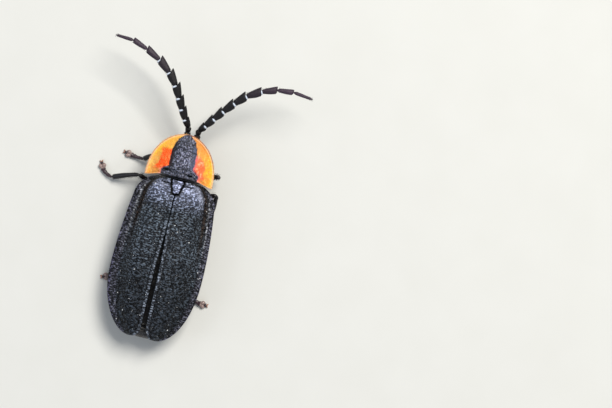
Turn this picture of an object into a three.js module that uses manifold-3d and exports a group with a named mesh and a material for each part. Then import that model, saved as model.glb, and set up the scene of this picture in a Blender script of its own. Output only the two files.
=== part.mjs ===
// A black firefly with a half-moon shield, standing on its six feet, at life size in millimetres.
// The head points along +Y, the beetle's right side along +X, and the floor is at z = 0.
// Plan coordinates are counted from the tip of the scutellum, the small plate between the wing cases.
import * as THREE from 'three';
import { mergeVertices } from 'three/addons/utils/BufferGeometryUtils.js';
import Module from 'manifold-3d';

const wasm = await Module();
wasm.setup();

// Body in plan
const BODY_LENGTH = 12;
const FRONT_Y = 0.2938 * BODY_LENGTH;
const BASE_Y = 0.082 * BODY_LENGTH;
const TIP_Y = -0.7038 * BODY_LENGTH;
const JOINT_GAP = 0.2;

// Heights above the floor
const CREST_Z = 3.15;
const SHOULDER_Z = 2.88;
const APEX_Z = 2.5;
const BELLY_Z = 0.92;

// Wing cases
const ELYTRON_FRONT_Y = BASE_Y - JOINT_GAP;
const ELYTRON_LENGTH = ELYTRON_FRONT_Y - TIP_Y;
const ELYTRON_HALF_WIDTH = 2.65;
const LEFT_FULLNESS = 0.11;
const ELYTRON_APEX_X = 0.8;
const ELYTRON_THICKNESS = 0.5;
const ELYTRON_DROP = 1.25;
const ELYTRON_REAR_DROP = 0.8;
const TIP_DROP = 0.35;
const RIM_THINNING = 0.55;
const SUTURE_HALF_GAP = 0.1;
const REAR_HALF_GAP = 0.19;

// Scutellum
const SCUTELLUM_HALF_BASE = 0.31;
const SCUTELLUM_HALF_TIP = 0.17;
const SCUTELLUM_LENGTH = 0.76;

// Folded hind wings
const WING_THICKNESS = 0.42;
const WING_HALF_WIDTH = 1.78;
const WING_FRONT_Y = -0.5;
const WING_REAR_Y = -7.4;

// Shield over the head
const SHIELD_X = -0.04;
const SHIELD_HALF_WIDTH = 1.98;
const SHIELD_CORNER_Y = 0.78;
const SHIELD_Z = 2.95;
const SHIELD_THICKNESS = 0.5;

// Head and trunk
const HEAD_X = 0.1;
const HEAD_HALF_WIDTH = 0.5;
const EYE_RADIUS = 0.42;
const PROTHORAX_Y = [BASE_Y + 0.07, 2.25];
const MESOTHORAX_Y = [-0.3, ELYTRON_FRONT_Y - 0.02];
const METATHORAX_Y = [-2.9, -0.5];
const THORAX_HALF_WIDTH = 1.85;
const ABDOMEN_FRONT_Y = METATHORAX_Y[0] - JOINT_GAP;
const ABDOMEN_REAR_Y = -8.42;
const ABDOMEN_HALF_WIDTH = 2.1;
const ABDOMEN_SEGMENTS = 8;

// Limbs, as radii
const COXA_RADIUS = 0.3;
const FEMUR_RADIUS = 0.27;
const TIBIA_RADIUS = 0.25;
const TARSUS_RADIUS = 0.23;
const LEG_SIDES = 7;

const FINISHES = {
  blackCuticle: new THREE.MeshStandardMaterial({ color: 0x1d1e22, roughness: 0.62, metalness: 0 }),
  greyCuticle: new THREE.MeshStandardMaterial({ color: 0x33343b, roughness: 0.6, metalness: 0 }),
  amberCuticle: new THREE.MeshStandardMaterial({ color: 0xf0a63c, roughness: 0.5, metalness: 0 }),
  eyeLens: new THREE.MeshStandardMaterial({ color: 0x120f10, roughness: 0.25, metalness: 0 }),
  smokyMembrane: new THREE.MeshStandardMaterial({ color: 0x17161a, roughness: 0.45, metalness: 0 }),
  brownCuticle: new THREE.MeshStandardMaterial({ color: 0x2a2023, roughness: 0.55, metalness: 0 }),
};

const clamp01 = (x) => Math.min(1, Math.max(0, x));
const mix = (a, b, t) => a + (b - a) * t;
const smooth = (low, high, x) => {
  const t = clamp01((x - low) / (high - low));
  return t * t * (3 - 2 * t);
};
const ridge = (x, centre, width) => Math.exp(-(((x - centre) / width) ** 2));
const point = (x, y, z) => new THREE.Vector3(x, y, z);

// A closed surface from points and triangles, turned so that its faces point out.
function closedSurface(points, faces) {
  let volume = 0;
  for (const [a, b, c] of faces) {
    volume += points[a].dot(points[b].clone().cross(points[c]));
  }
  const outward = volume < 0 ? faces.map(([a, b, c]) => [a, c, b]) : faces;
  const geometry = new THREE.BufferGeometry().setFromPoints(points);
  geometry.setIndex(outward.flat());
  return geometry;
}

// Rings of equally many points, joined one to the next, with a fan over each end.
function loft(rings) {
  const sides = rings[0].length;
  const points = rings.flat();
  const faces = [];
  for (let r = 0; r + 1 < rings.length; r += 1) {
    for (let k = 0; k < sides; k += 1) {
      const a = r * sides + k;
      const b = r * sides + ((k + 1) % sides);
      faces.push([a, b, b + sides], [a, b + sides, a + sides]);
    }
  }
  for (const [ring, turn] of [[0, 1], [rings.length - 1, 0]]) {
    const centre = points.length;
    const middle = point(0, 0, 0);
    rings[ring].forEach((p) => middle.addScaledVector(p, 1 / sides));
    points.push(middle);
    for (let k = 0; k < sides; k += 1) {
      const a = ring * sides + k;
      const b = ring * sides + ((k + 1) % sides);
      faces.push(turn ? [b, a, centre] : [a, b, centre]);
    }
  }
  return closedSurface(points, faces);
}

// A plate with a top and a bottom face split into triangles alike, and a wall round its rim.
// face(u, v, isTop) gives the point for u along and v across, each from 0 to 1.
function plate(stepsAlong, stepsAcross, face) {
  const points = [];
  const faces = [];
  const row = stepsAcross + 1;
  const layer = (stepsAlong + 1) * row;
  for (const isTop of [true, false]) {
    for (let i = 0; i <= stepsAlong; i += 1) {
      for (let j = 0; j <= stepsAcross; j += 1) {
        points.push(face(i / stepsAlong, j / stepsAcross, isTop));
      }
    }
  }
  for (let i = 0; i < stepsAlong; i += 1) {
    for (let j = 0; j < stepsAcross; j += 1) {
      const a = i * row + j;
      const [b, c, d] = [a + 1, a + row + 1, a + row];
      faces.push([a, b, c], [a, c, d]);
      faces.push([a + layer, c + layer, b + layer], [a + layer, d + layer, c + layer]);
    }
  }
  const wall = (a, b) => faces.push([b, a, a + layer], [b, a + layer, b + layer]);
  for (let j = 0; j < stepsAcross; j += 1) {
    wall(j, j + 1);
    wall(layer - 1 - j, layer - 2 - j);
  }
  for (let i = 0; i < stepsAlong; i += 1) {
    wall((i + 1) * row, i * row);
    wall(i * row + stepsAcross, (i + 1) * row + stepsAcross);
  }
  return closedSurface(points, faces);
}

function solidOf(geometry) {
  const merged = mergeVertices(geometry, 1e-4);
  const vertProperties = merged.attributes.position.array;
  const triVerts = new Uint32Array(merged.index.array);
  return new wasm.Manifold(new wasm.Mesh({ numProp: 3, vertProperties, triVerts }));
}

// The largest closed surface of a solid, as a geometry.
function geometryOf(solid) {
  const whole = solid.decompose().sort((a, b) => b.volume() - a.volume())[0];
  const { vertProperties, triVerts, numProp } = whole.getMesh();
  const points = [];
  for (let i = 0; i < vertProperties.length; i += numProp) {
    points.push(point(vertProperties[i], vertProperties[i + 1], vertProperties[i + 2]));
  }
  const geometry = new THREE.BufferGeometry().setFromPoints(points);
  geometry.setIndex([...triVerts]);
  return geometry;
}

const fuse = (geometries) => geometries.map(solidOf).reduce((whole, next) => whole.add(next));

// A rounded-box ring in the plane square to a direction: 1 is an ellipse, and less is squarer.
function ring(centre, across, up, halfWidth, halfHeight, sides, roundness = 1) {
  return Array.from({ length: sides }, (_, k) => {
    const angle = ((k + 0.5) / sides) * 2 * Math.PI;
    const c = Math.cos(angle);
    const s = Math.sin(angle);
    const x = Math.sign(c) * Math.abs(c) ** roundness * halfWidth;
    const y = Math.sign(s) * Math.abs(s) ** roundness * halfHeight;
    return centre.clone().addScaledVector(across, x).addScaledVector(up, y);
  });
}

// A straight limb from one point to another. Each station is [share of the way, half width, half depth].
function limb(from, to, stations, sides = LEG_SIDES) {
  const along = to.clone().sub(from).normalize();
  const across = along.clone().cross(point(0, 0, 1)).normalize();
  const up = across.clone().cross(along);
  return loft(stations.map(([share, halfWidth, halfDepth]) => (
    ring(from.clone().lerp(to, share), across, up, halfWidth, halfDepth ?? halfWidth, sides)
  )));
}

// How far the wing cases bend down at their tips.
const tipDrop = (u) => TIP_DROP * smooth(0.85, 1, u);

// Height of the wing cases' ridge line at u, from 0 at their front to 1 at their tips.
function crest(u) {
  const front = (CREST_Z - SHOULDER_Z) * (1 - smooth(0, 0.16, u));
  const rear = (CREST_Z - APEX_Z) * smooth(0.45, 1.12, u) * 1.25;
  return CREST_Z - front - rear - tipDrop(u);
}

// Outer edge of a wing case: a bowed side with a round shoulder and a round end, the left one a little fuller.
function elytronOuter(u, side = 1) {
  const bow = 1 - 0.18 * ((Math.max(0, 0.55 - u) / 0.55) ** 2);
  const shoulder = 0.5 + 0.5 * Math.sqrt(1 - (1 - Math.min(1, u / 0.12)) ** 2);
  const toEnd = clamp01((u - 0.55) / 0.45);
  const end = (1 - toEnd ** 2.3) ** 0.55;
  const fuller = side < 0 ? LEFT_FULLNESS * ridge(u, 0.72, 0.26) : 0;
  return ELYTRON_APEX_X + (ELYTRON_HALF_WIDTH * bow * shoulder - ELYTRON_APEX_X + fuller) * end;
}

const scutellumHalf = (y) => mix(
  SCUTELLUM_HALF_TIP,
  SCUTELLUM_HALF_BASE,
  smooth(0, 1, y / SCUTELLUM_LENGTH),
);

// Inner edge of a wing case: round the scutellum, down the suture, and out to its own round tip.
function elytronInner(u) {
  const y = ELYTRON_FRONT_Y - u * ELYTRON_LENGTH;
  const notch = scutellumHalf(y) + JOINT_GAP - SUTURE_HALF_GAP;
  const seam = mix(SUTURE_HALF_GAP, REAR_HALF_GAP, smooth(0.4, 0.85, u));
  const toEnd = clamp01((u - 0.93) / 0.07);
  const tip = (ELYTRON_APEX_X - REAR_HALF_GAP - 0.06) * (1 - Math.sqrt(1 - toEnd ** 2));
  return seam + notch * smooth(-0.35, -0.02, y) + tip;
}

// Side-to-side fall of the wing cases, from the suture at 0 to the outer edge at 1.
function sideFall(u, q) {
  return (mix(ELYTRON_DROP, ELYTRON_REAR_DROP, smooth(0.55, 1, u)) - tipDrop(u)) * q ** 2.6;
}

function elytronTop(u, x) {
  const q = Math.min(1, x / elytronOuter(u));
  const seamBead = 0.05 * ridge(x - elytronInner(u), 0.1, 0.09);
  const rimGroove = -0.06 * ridge(q, 0.87, 0.05) * smooth(0.03, 0.12, u) * (1 - smooth(0.85, 0.97, u));
  const ribs = 0.03 * (ridge(q, 0.36, 0.05) + ridge(q, 0.62, 0.05)) * smooth(0.05, 0.2, u);
  const shoulder = 0.1 * ridge(q, 0.68, 0.14) * ridge(u, 0.07, 0.06);
  return crest(u) - sideFall(u, q) + seamBead + rimGroove + ribs + shoulder;
}

function elytronUnder(u, x) {
  const q = Math.min(1, x / elytronOuter(u));
  const thinRim = mix(1, RIM_THINNING, smooth(0.75, 1, q));
  return crest(u) - sideFall(u, q) - ELYTRON_THICKNESS * thinRim;
}

const alongFromY = (y) => (ELYTRON_FRONT_Y - y) / ELYTRON_LENGTH;

// Ends of a plate get closer rows, so that round tips stay round.
const evenAtEnds = (t) => mix(t, 0.5 - 0.5 * Math.cos(Math.PI * t), 0.75);

function elytron(side) {
  return plate(24, 11, (i, j, isTop) => {
    const u = evenAtEnds(i);
    const x = mix(elytronInner(u), elytronOuter(u, side), evenAtEnds(j));
    const z = isTop ? elytronTop(u, x) : elytronUnder(u, x);
    return point(side * x, ELYTRON_FRONT_Y - u * ELYTRON_LENGTH, z);
  });
}

// Folded hind wing under its wing case, with its main veins raised along it.
const wingTop = (y, x) => elytronUnder(alongFromY(y), x) - JOINT_GAP;
const wingUnder = (y, x) => wingTop(y, x) - WING_THICKNESS;
const wingOuter = (t) => (
  mix(0.72, 1, smooth(0, 0.2, t)) * WING_HALF_WIDTH * Math.sqrt(1 - clamp01((t - 0.5) / 0.53) ** 2.4)
);

function hindWing(side) {
  return plate(14, 8, (i, j, isTop) => {
    const y = mix(WING_FRONT_Y, WING_REAR_Y, i);
    const x = mix(JOINT_GAP / 2, Math.max(0.4, wingOuter(i)), j);
    const veins = 0.07 * [0, 0.375, 0.75].reduce((sum, at) => sum + ridge(j, at, 0.05), -1);
    return point(side * x, y, isTop ? wingTop(y, x) + veins : wingUnder(y, x));
  });
}

// A body ring across Y: an arched back over a flatter belly, both meeting at the side edge.
function bodyRing(y, halfWidth, top, edge, bottom, sides = 20) {
  return Array.from({ length: sides }, (_, k) => {
    const angle = ((k + 0.5) / sides) * 2 * Math.PI;
    const c = Math.cos(angle);
    const s = Math.sin(angle);
    const x = Math.sign(c) * Math.abs(c) ** 0.8 * halfWidth;
    const height = Math.abs(s) ** 0.9 * (s > 0 ? top - edge : edge - bottom);
    return point(x, y, edge + Math.sign(s) * height);
  });
}

// Highest the trunk may reach: under the hind wings, or behind them under the wing cases.
function trunkTop(y) {
  const roof = y > WING_REAR_Y - 2 * JOINT_GAP ? wingUnder(y, 0.3) : elytronUnder(alongFromY(y), 0.3);
  return roof - JOINT_GAP;
}

function prothorax() {
  const [rear, front] = PROTHORAX_Y;
  const rings = [[0, 0.92, 2.2], [0.3, 1.0, 2.24], [0.7, 0.9, 2.2], [1, 0.62, 2.08]];
  return loft(rings.map(([t, half, top]) => bodyRing(mix(rear, front, t), half, top, 1.6, 1.02)));
}

function mesothorax() {
  const [rear, front] = MESOTHORAX_Y;
  const rings = [[0, 1.72, 2.24], [0.5, 1.62, 2.2], [1, 1.12, 2.14]];
  return loft(rings.map(([t, half, top]) => bodyRing(mix(rear, front, t), half, top, 1.5, BELLY_Z)));
}

function metathorax() {
  const [rear, front] = METATHORAX_Y;
  return loft([0, 0.25, 0.6, 1].map((t) => {
    const y = mix(rear, front, t);
    const half = mix(1, 0.95, t) * THORAX_HALF_WIDTH;
    return bodyRing(y, half, trunkTop(y), 1.3, BELLY_Z);
  }));
}

// Abdomen: each ring of its eight flares to its rear edge and steps in to the next.
function abdomen() {
  const rings = [];
  const length = ABDOMEN_FRONT_Y - ABDOMEN_REAR_Y;
  for (let k = 0; k < ABDOMEN_SEGMENTS; k += 1) {
    for (const [within, flare] of [[0.04, 0.93], [0.55, 0.98], [0.96, 1]]) {
      const t = ((k + within) / ABDOMEN_SEGMENTS) ** 0.92;
      const y = ABDOMEN_FRONT_Y - t * length;
      const taper = Math.sqrt(1 - 0.93 * clamp01((t - 0.35) / 0.65) ** 2.2);
      const top = Math.min(trunkTop(y), mix(1.8, 1.42, smooth(0.6, 1, t)));
      const bottom = mix(BELLY_Z - 0.05, 0.98, smooth(0.7, 1, t)) + 0.5 * (1 - flare);
      const edge = mix(1.24, 1.18, t);
      rings.push(bodyRing(y, ABDOMEN_HALF_WIDTH * taper * flare, top - 0.4 * (1 - flare), edge, bottom));
    }
  }
  return loft(rings);
}

function scutellum() {
  return plate(5, 4, (i, j, isTop) => {
    const y = mix(SCUTELLUM_LENGTH, 0.03, i);
    const across = mix(-1, 1, j);
    const x = across * scutellumHalf(y);
    const top = mix(2.9, 3.0, i) - 0.08 * across ** 2;
    return point(x, y, isTop ? top : 2.44);
  });
}

// Half width of the shield at p, from 0 at its rear corners to 1 at its front.
const shieldHalf = (p) => SHIELD_HALF_WIDTH * (1 - clamp01(p) ** 2.4) ** 0.55;
const shieldRear = (x) => mix(BASE_Y, SHIELD_CORNER_Y, smooth(0.55, 1, Math.abs(x) / SHIELD_HALF_WIDTH));

// Half width of the black band down the shield: narrow in front, with a flare at its base.
function bandHalf(y) {
  const p = (y - SHIELD_CORNER_Y) / (FRONT_Y - SHIELD_CORNER_Y);
  return 0.72 * (1 - clamp01((p - 0.42) / 0.62) ** 3) ** 0.6 + 0.36 * (1 - smooth(0.17, 0.31, p));
}

function shieldBase(x, y) {
  const forward = Math.max(0, y - 1.7) / (FRONT_Y - 1.7);
  const back = Math.max(0, 1.7 - y) / 0.9;
  return SHIELD_Z - 0.5 * forward ** 2 - 0.07 * back ** 2 - 0.6 * (Math.abs(x) / SHIELD_HALF_WIDTH) ** 1.8;
}

function shieldTop(x, y, toRim) {
  const band = bandHalf(y);
  const plateau = 0.13 * (1 - smooth(band - 0.22, band + 0.08, Math.abs(x)));
  const baseGroove = -0.1 * ridge(y, 1.26, 0.09) * (1 - smooth(0.95, 1.15, Math.abs(x)));
  const rim = 0.07 * smooth(0.82, 1, toRim);
  return shieldBase(x, y) + plateau + baseGroove + rim;
}

// The whole shield: rings of points drawn in from its outline to its middle.
function shield() {
  const frontSteps = 24;
  const outline = [];
  for (let k = 0; k <= frontSteps; k += 1) {
    const angle = (Math.PI * k) / frontSteps;
    const p = Math.sin(angle) ** 0.85;
    const x = Math.sign(Math.cos(angle)) * shieldHalf(p);
    outline.push([x, mix(SHIELD_CORNER_Y, FRONT_Y, p)]);
  }
  const rearSteps = 10;
  for (let k = 1; k < rearSteps; k += 1) {
    const x = mix(-SHIELD_HALF_WIDTH, SHIELD_HALF_WIDTH, k / rearSteps);
    outline.push([x, shieldRear(x)]);
  }
  const shares = [0.22, 0.42, 0.6, 0.76, 0.9, 1];
  const middle = [0, 1.9];
  const under = (x, y, share) => (
    shieldBase(x, y) - SHIELD_THICKNESS * mix(1, RIM_THINNING, smooth(0.7, 1, share))
  );
  const count = outline.length;
  const points = [];
  const faces = [];
  for (const isTop of [true, false]) {
    points.push(point(...middle, isTop ? shieldTop(...middle, 0) : under(...middle, 0)));
    for (const share of shares) {
      for (const [ox, oy] of outline) {
        const [x, y] = [mix(middle[0], ox, share), mix(middle[1], oy, share)];
        points.push(point(x, y, isTop ? shieldTop(x, y, share) : under(x, y, share)));
      }
    }
  }
  const layer = 1 + shares.length * count;
  for (let k = 0; k < count; k += 1) {
    const next = (k + 1) % count;
    faces.push([0, 1 + k, 1 + next], [layer, layer + 1 + next, layer + 1 + k]);
    for (let r = 0; r + 1 < shares.length; r += 1) {
      const [a, b] = [1 + r * count + k, 1 + r * count + next];
      const [c, d] = [b + count, a + count];
      faces.push([a, d, c], [a, c, b]);
      faces.push([a + layer, c + layer, d + layer], [a + layer, b + layer, c + layer]);
    }
    const [a, b] = [1 + (shares.length - 1) * count + k, 1 + (shares.length - 1) * count + next];
    faces.push([a, a + layer, b + layer], [a, b + layer, b]);
  }
  return closedSurface(points, faces);
}

// An upright block with the plan of the black band, widened by a margin.
function bandBlock(margin) {
  const steps = 14;
  const [rear, front] = [0.4, FRONT_Y + 0.3];
  const halves = Array.from({ length: steps + 1 }, (_, k) => {
    const y = mix(rear, front, k / steps);
    return [Math.max(0.12, bandHalf(y)) + margin, y];
  });
  const left = halves.map(([x, y]) => new THREE.Vector2(-x, y)).reverse();
  const right = halves.map(([x, y]) => new THREE.Vector2(x, y));
  const outline = new THREE.Shape([...right, ...left]);
  const block = new THREE.ExtrudeGeometry(outline, { depth: 3, bevelEnabled: false });
  block.translate(0, 0, 1);
  block.deleteAttribute('normal');
  block.deleteAttribute('uv');
  return solidOf(block);
}

// The shield parted into its black disc and its two amber margins.
function shieldPieces() {
  const whole = solidOf(shield());
  const inPlace = (piece) => piece.translate([SHIELD_X, 0, 0]);
  const margins = whole.subtract(bandBlock(JOINT_GAP / 2)).decompose();
  const [left, right] = margins
    .sort((a, b) => b.volume() - a.volume())
    .slice(0, 2)
    .sort((a, b) => a.boundingBox().min[0] - b.boundingBox().min[0]);
  const disc = whole.intersect(bandBlock(-JOINT_GAP / 2));
  return { disc: inPlace(disc), left: inPlace(left), right: inPlace(right) };
}

// Head capsule, grown by a margin where it is used to part the eyes from it.
function headCapsule(grow = 0) {
  const rings = [
    [2.45, 0.84, 0.4, 1.58],
    [2.6, 1.0, 0.46, 1.56],
    [2.85, 1.0, 0.48, 1.54],
    [3.05, 0.96, 0.44, 1.52],
    [3.2, 0.84, 0.34, 1.5],
  ];
  const across = point(1, 0, 0);
  const up = point(0, 0, 1);
  return loft(rings.map(([y, share, halfHeight, z]) => ring(
    point(HEAD_X, y, z), across, up, share * HEAD_HALF_WIDTH + grow, halfHeight + grow, 16, 0.85,
  )));
}

function eye(side) {
  const ball = new THREE.SphereGeometry(EYE_RADIUS, 14, 10);
  ball.translate(HEAD_X + side * 0.64, 2.8, 1.52);
  ball.deleteAttribute('normal');
  ball.deleteAttribute('uv');
  return geometryOf(solidOf(ball).subtract(solidOf(headCapsule(JOINT_GAP))));
}

// Sickle jaw and jointed feeler under the front of the head.
function mandible(side) {
  const x = (offset) => HEAD_X + side * offset;
  return geometryOf(fuse([
    limb(point(x(0.26), 3.02, 0.87), point(x(0.27), 3.14, 0.68), [[0, 0.15], [1, 0.14]], 6),
    limb(point(x(0.27), 3.11, 0.72), point(x(0.15), 3.3, 0.58), [[0, 0.14], [0.6, 0.1], [1, 0.04]], 6),
  ]));
}

function palp(side) {
  const joints = [[0.32, 2.7, 0.86], [0.45, 2.78, 0.66], [0.56, 2.93, 0.55], [0.62, 3.16, 0.46]];
  const pieces = [];
  for (let k = 0; k + 1 < joints.length; k += 1) {
    const [from, to] = [joints[k], joints[k + 1]].map(([x, y, z]) => point(HEAD_X + side * x, y, z));
    pieces.push(limb(from.clone().lerp(to, -0.12), to, [[0, 0.13], [0.6, 0.18], [1, k === 2 ? 0.08 : 0.14]], 6));
  }
  return geometryOf(fuse(pieces));
}

// Antenna joints in plan, from the root to the tip, then their heights.
const ANTENNA_LEFT = [
  [-0.2, 3.4], [-0.19, 3.7], [-0.2, 3.92], [-0.48, 4.24], [-0.77, 4.78], [-1.05, 5.35],
  [-1.42, 6.0], [-1.93, 6.65], [-2.62, 7.22], [-3.5, 7.62], [-4.38, 7.93], [-5.52, 8.02],
];
const ANTENNA_RIGHT = [
  [0.4, 3.4], [0.41, 3.7], [0.42, 3.92], [0.71, 4.21], [1.08, 4.69], [1.51, 5.2],
  [2.02, 5.8], [2.59, 6.37], [3.38, 6.82], [4.27, 7.11], [5.2, 7.22], [6.36, 7.1],
];
const ANTENNA_HEIGHTS = [1.5, 1.58, 1.74, 1.98, 2.24, 2.48, 2.68, 2.84, 2.96, 3.02, 3.0, 2.9];
// Half width of each of the eleven joints at its far end, and how far its tooth reaches past it.
const ANTENNA_HALF_WIDTHS = [0.2, 0.19, 0.24, 0.25, 0.25, 0.25, 0.25, 0.24, 0.21, 0.18, 0.1];
const ANTENNA_TEETH = [0, 0, 0.22, 0.27, 0.28, 0.27, 0.22, 0.2, 0.17, 0.1, 0];
const ANTENNA_HALF_DEPTH = 0.2;

// One joint: a flattened cone whose inner far corner is drawn out into a tooth.
function antennaJoint(from, to, halfWidth, halfDepth, tooth, inner) {
  const along = to.clone().sub(from);
  const length = along.length();
  along.normalize();
  const across = along.clone().cross(point(0, 0, 1)).normalize().multiplyScalar(inner);
  const up = across.clone().cross(along).normalize();
  const stations = [[-0.06, 0.55, 0.8], [0.6, 0.92, 1], [1, 1, 0.85]];
  return loft(stations.map(([share, wide, deep]) => {
    const centre = from.clone().addScaledVector(along, share * length);
    centre.addScaledVector(across, 0.12 * halfWidth * (share > 0.5 ? 1 : 0));
    return ring(centre, across, up, wide * halfWidth, deep * halfDepth, 7, 0.9).map((p) => {
      const reach = clamp01(p.clone().sub(centre).dot(across) / halfWidth);
      return p.addScaledVector(along, tooth * reach ** 1.3 * smooth(0.5, 1, share));
    });
  }));
}

function antenna(plan, side) {
  const joints = plan.map(([x, y], k) => point(x, y, ANTENNA_HEIGHTS[k]));
  const pieces = ANTENNA_HALF_WIDTHS.map((halfWidth, k) => antennaJoint(
    joints[k], joints[k + 1], halfWidth, Math.min(ANTENNA_HALF_DEPTH, halfWidth * 1.1), ANTENNA_TEETH[k], -side,
  ));
  return geometryOf(fuse(pieces));
}

// Legs: where each one's parts meet, as [x, y, z] from the trunk down to the claws.
const LEGS = {
  leg_front_left: {
    root: [-0.46, 1.5, 0.82], hip: [-0.6, 1.38, 0.5], knee: [-1.5, 1.98, 1.15],
    ankle: [-2.34, 1.57, 0.4], arch: [-2.95, 1.6, 0.18], toe: [-3.52, 1.72, 0.13],
  },
  leg_front_right: {
    root: [0.46, 1.5, 0.82], hip: [0.62, 1.38, 0.5], knee: [2.2, 1.54, 1.18],
    ankle: [1.4, 1.78, 0.3], arch: [1.38, 2.12, 0.18], toe: [1.14, 2.62, 0.13],
  },
  leg_mid_left: {
    root: [-0.55, 0.1, 0.72], hip: [-0.78, 0.08, 0.46], knee: [-2.36, 0.62, 1.08],
    ankle: [-3.88, 0.12, 0.3], arch: [-4.33, 0.3, 0.18], toe: [-4.68, 0.86, 0.13],
  },
  leg_mid_right: {
    root: [0.55, 0.1, 0.72], hip: [0.78, 0.06, 0.46], knee: [2.26, 0.48, 1.08],
    ankle: [2.12, -0.82, 0.3], arch: [2.2, -1.22, 0.18], toe: [2.04, -1.9, 0.13],
  },
  leg_hind_left: {
    root: [-0.5, -2.4, 0.72], hip: [-0.74, -2.5, 0.46], knee: [-2.1, -3.35, 1.02],
    ankle: [-2.0, -5.06, 0.3], arch: [-2.48, -5.38, 0.18], toe: [-3.12, -5.62, 0.13],
  },
  leg_hind_right: {
    root: [0.5, -2.4, 0.72], hip: [0.74, -2.5, 0.46], knee: [2.14, -3.6, 1.02],
    ankle: [2.16, -5.44, 0.3], arch: [2.58, -5.76, 0.18], toe: [3.18, -5.82, 0.13],
  },
};

// Floor under the model, used to cut the soles of the feet flat.
function floorBlock() {
  const block = new THREE.BoxGeometry(40, 40, 2);
  block.translate(0, 0, -1);
  block.deleteAttribute('normal');
  block.deleteAttribute('uv');
  return solidOf(block);
}

// Foot: five short joints from the ankle, the fourth split into two lobes, and a pair of claws.
function foot(ankle, arch, toe) {
  const route = new THREE.CatmullRomCurve3([ankle, arch, toe]);
  const shares = [0, 0.3, 0.47, 0.6, 0.76, 1];
  const pieces = [];
  for (const k of [0, 1, 2]) {
    const [from, to] = [route.getPointAt(shares[k]), route.getPointAt(shares[k + 1])];
    const radius = TARSUS_RADIUS - 0.015 * k;
    pieces.push(limb(from.clone().lerp(to, -0.2), to, [[0, 0.75 * radius], [0.8, radius], [1, 0.85 * radius]], 7));
  }
  const split = route.getPointAt(shares[3]);
  const heading = toe.clone().sub(split).setZ(0).normalize();
  const aside = heading.clone().cross(point(0, 0, 1));
  const level = (p, z) => p.clone().setZ(z);
  for (const turn of [-1, 1]) {
    const from = level(split, 0.13).addScaledVector(heading, -0.1).addScaledVector(aside, turn * 0.04);
    const to = level(split, 0.1).addScaledVector(heading, 0.2).addScaledVector(aside, turn * 0.15);
    pieces.push(limb(from, to, [[0, 0.13, 0.16], [0.7, 0.13, 0.14], [1, 0.08, 0.1]], 6));
    const claw = [level(toe, 0.14).addScaledVector(heading, -0.08), level(toe, 0.07)];
    claw[1].addScaledVector(heading, 0.13).addScaledVector(aside, turn * 0.13);
    pieces.push(limb(claw[0], claw[1], [[0, 0.07], [0.5, 0.06], [1, 0.02]], 5));
  }
  pieces.push(limb(level(split, 0.17), level(toe, 0.14), [[0, 0.1], [0.75, 0.12], [1, 0.1]], 6));
  return pieces;
}

function leg(places) {
  const [root, hip, knee, ankle, arch, toe] = ['root', 'hip', 'knee', 'ankle', 'arch', 'toe']
    .map((name) => point(...places[name]));
  const top = [1.0, 0.85, 0.6].map((share, k) => (
    ring(root.clone().lerp(hip, k / 2), point(1, 0, 0), point(0, 1, 0), share * COXA_RADIUS, share * COXA_RADIUS, 8)
  ));
  const past = hip.clone().lerp(knee, -0.08);
  const pieces = [
    loft(top),
    limb(past, knee, [[0, 0.17], [0.12, 0.24], [0.45, FEMUR_RADIUS], [0.85, 0.24], [1.04, 0.18]]),
    limb(knee, ankle, [[-0.06, 0.18], [0.1, 0.23], [0.6, TIBIA_RADIUS], [0.96, TIBIA_RADIUS], [1.02, 0.2]]),
    ...foot(ankle, arch, toe),
  ];
  return geometryOf(fuse(pieces).subtract(floorBlock()));
}

const firefly = new THREE.Group();

function addPart(name, geometry, finish) {
  const mesh = new THREE.Mesh(geometry, finish);
  mesh.name = name;
  firefly.add(mesh);
}

const shieldParts = shieldPieces();
addPart('head', headCapsule(), FINISHES.blackCuticle);
addPart('pronotum_disc', geometryOf(shieldParts.disc), FINISHES.greyCuticle);
addPart('pronotum_margin_left', geometryOf(shieldParts.left), FINISHES.amberCuticle);
addPart('pronotum_margin_right', geometryOf(shieldParts.right), FINISHES.amberCuticle);
addPart('prothorax', prothorax(), FINISHES.blackCuticle);
addPart('mesothorax', mesothorax(), FINISHES.blackCuticle);
addPart('metathorax', metathorax(), FINISHES.blackCuticle);
addPart('scutellum', scutellum(), FINISHES.greyCuticle);
addPart('abdomen', abdomen(), FINISHES.blackCuticle);
addPart('antenna_left', antenna(ANTENNA_LEFT, -1), FINISHES.blackCuticle);
addPart('antenna_right', antenna(ANTENNA_RIGHT, 1), FINISHES.blackCuticle);
for (const [name, side] of [['left', -1], ['right', 1]]) {
  addPart(`eye_${name}`, eye(side), FINISHES.eyeLens);
  addPart(`mandible_${name}`, mandible(side), FINISHES.brownCuticle);
  addPart(`palp_${name}`, palp(side), FINISHES.brownCuticle);
  addPart(`elytron_${name}`, elytron(side), FINISHES.greyCuticle);
  addPart(`hind_wing_${name}`, hindWing(side), FINISHES.smokyMembrane);
}
for (const [name, places] of Object.entries(LEGS)) {
  addPart(name, leg(places), FINISHES.brownCuticle);
}

// The origin is on the floor, under the middle of the model's box.
const box = new THREE.Box3().setFromObject(firefly, true);
firefly.position.set(-(box.min.x + box.max.x) / 2, -(box.min.y + box.max.y) / 2, -box.min.z);

export default firefly;
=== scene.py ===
import math

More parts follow.
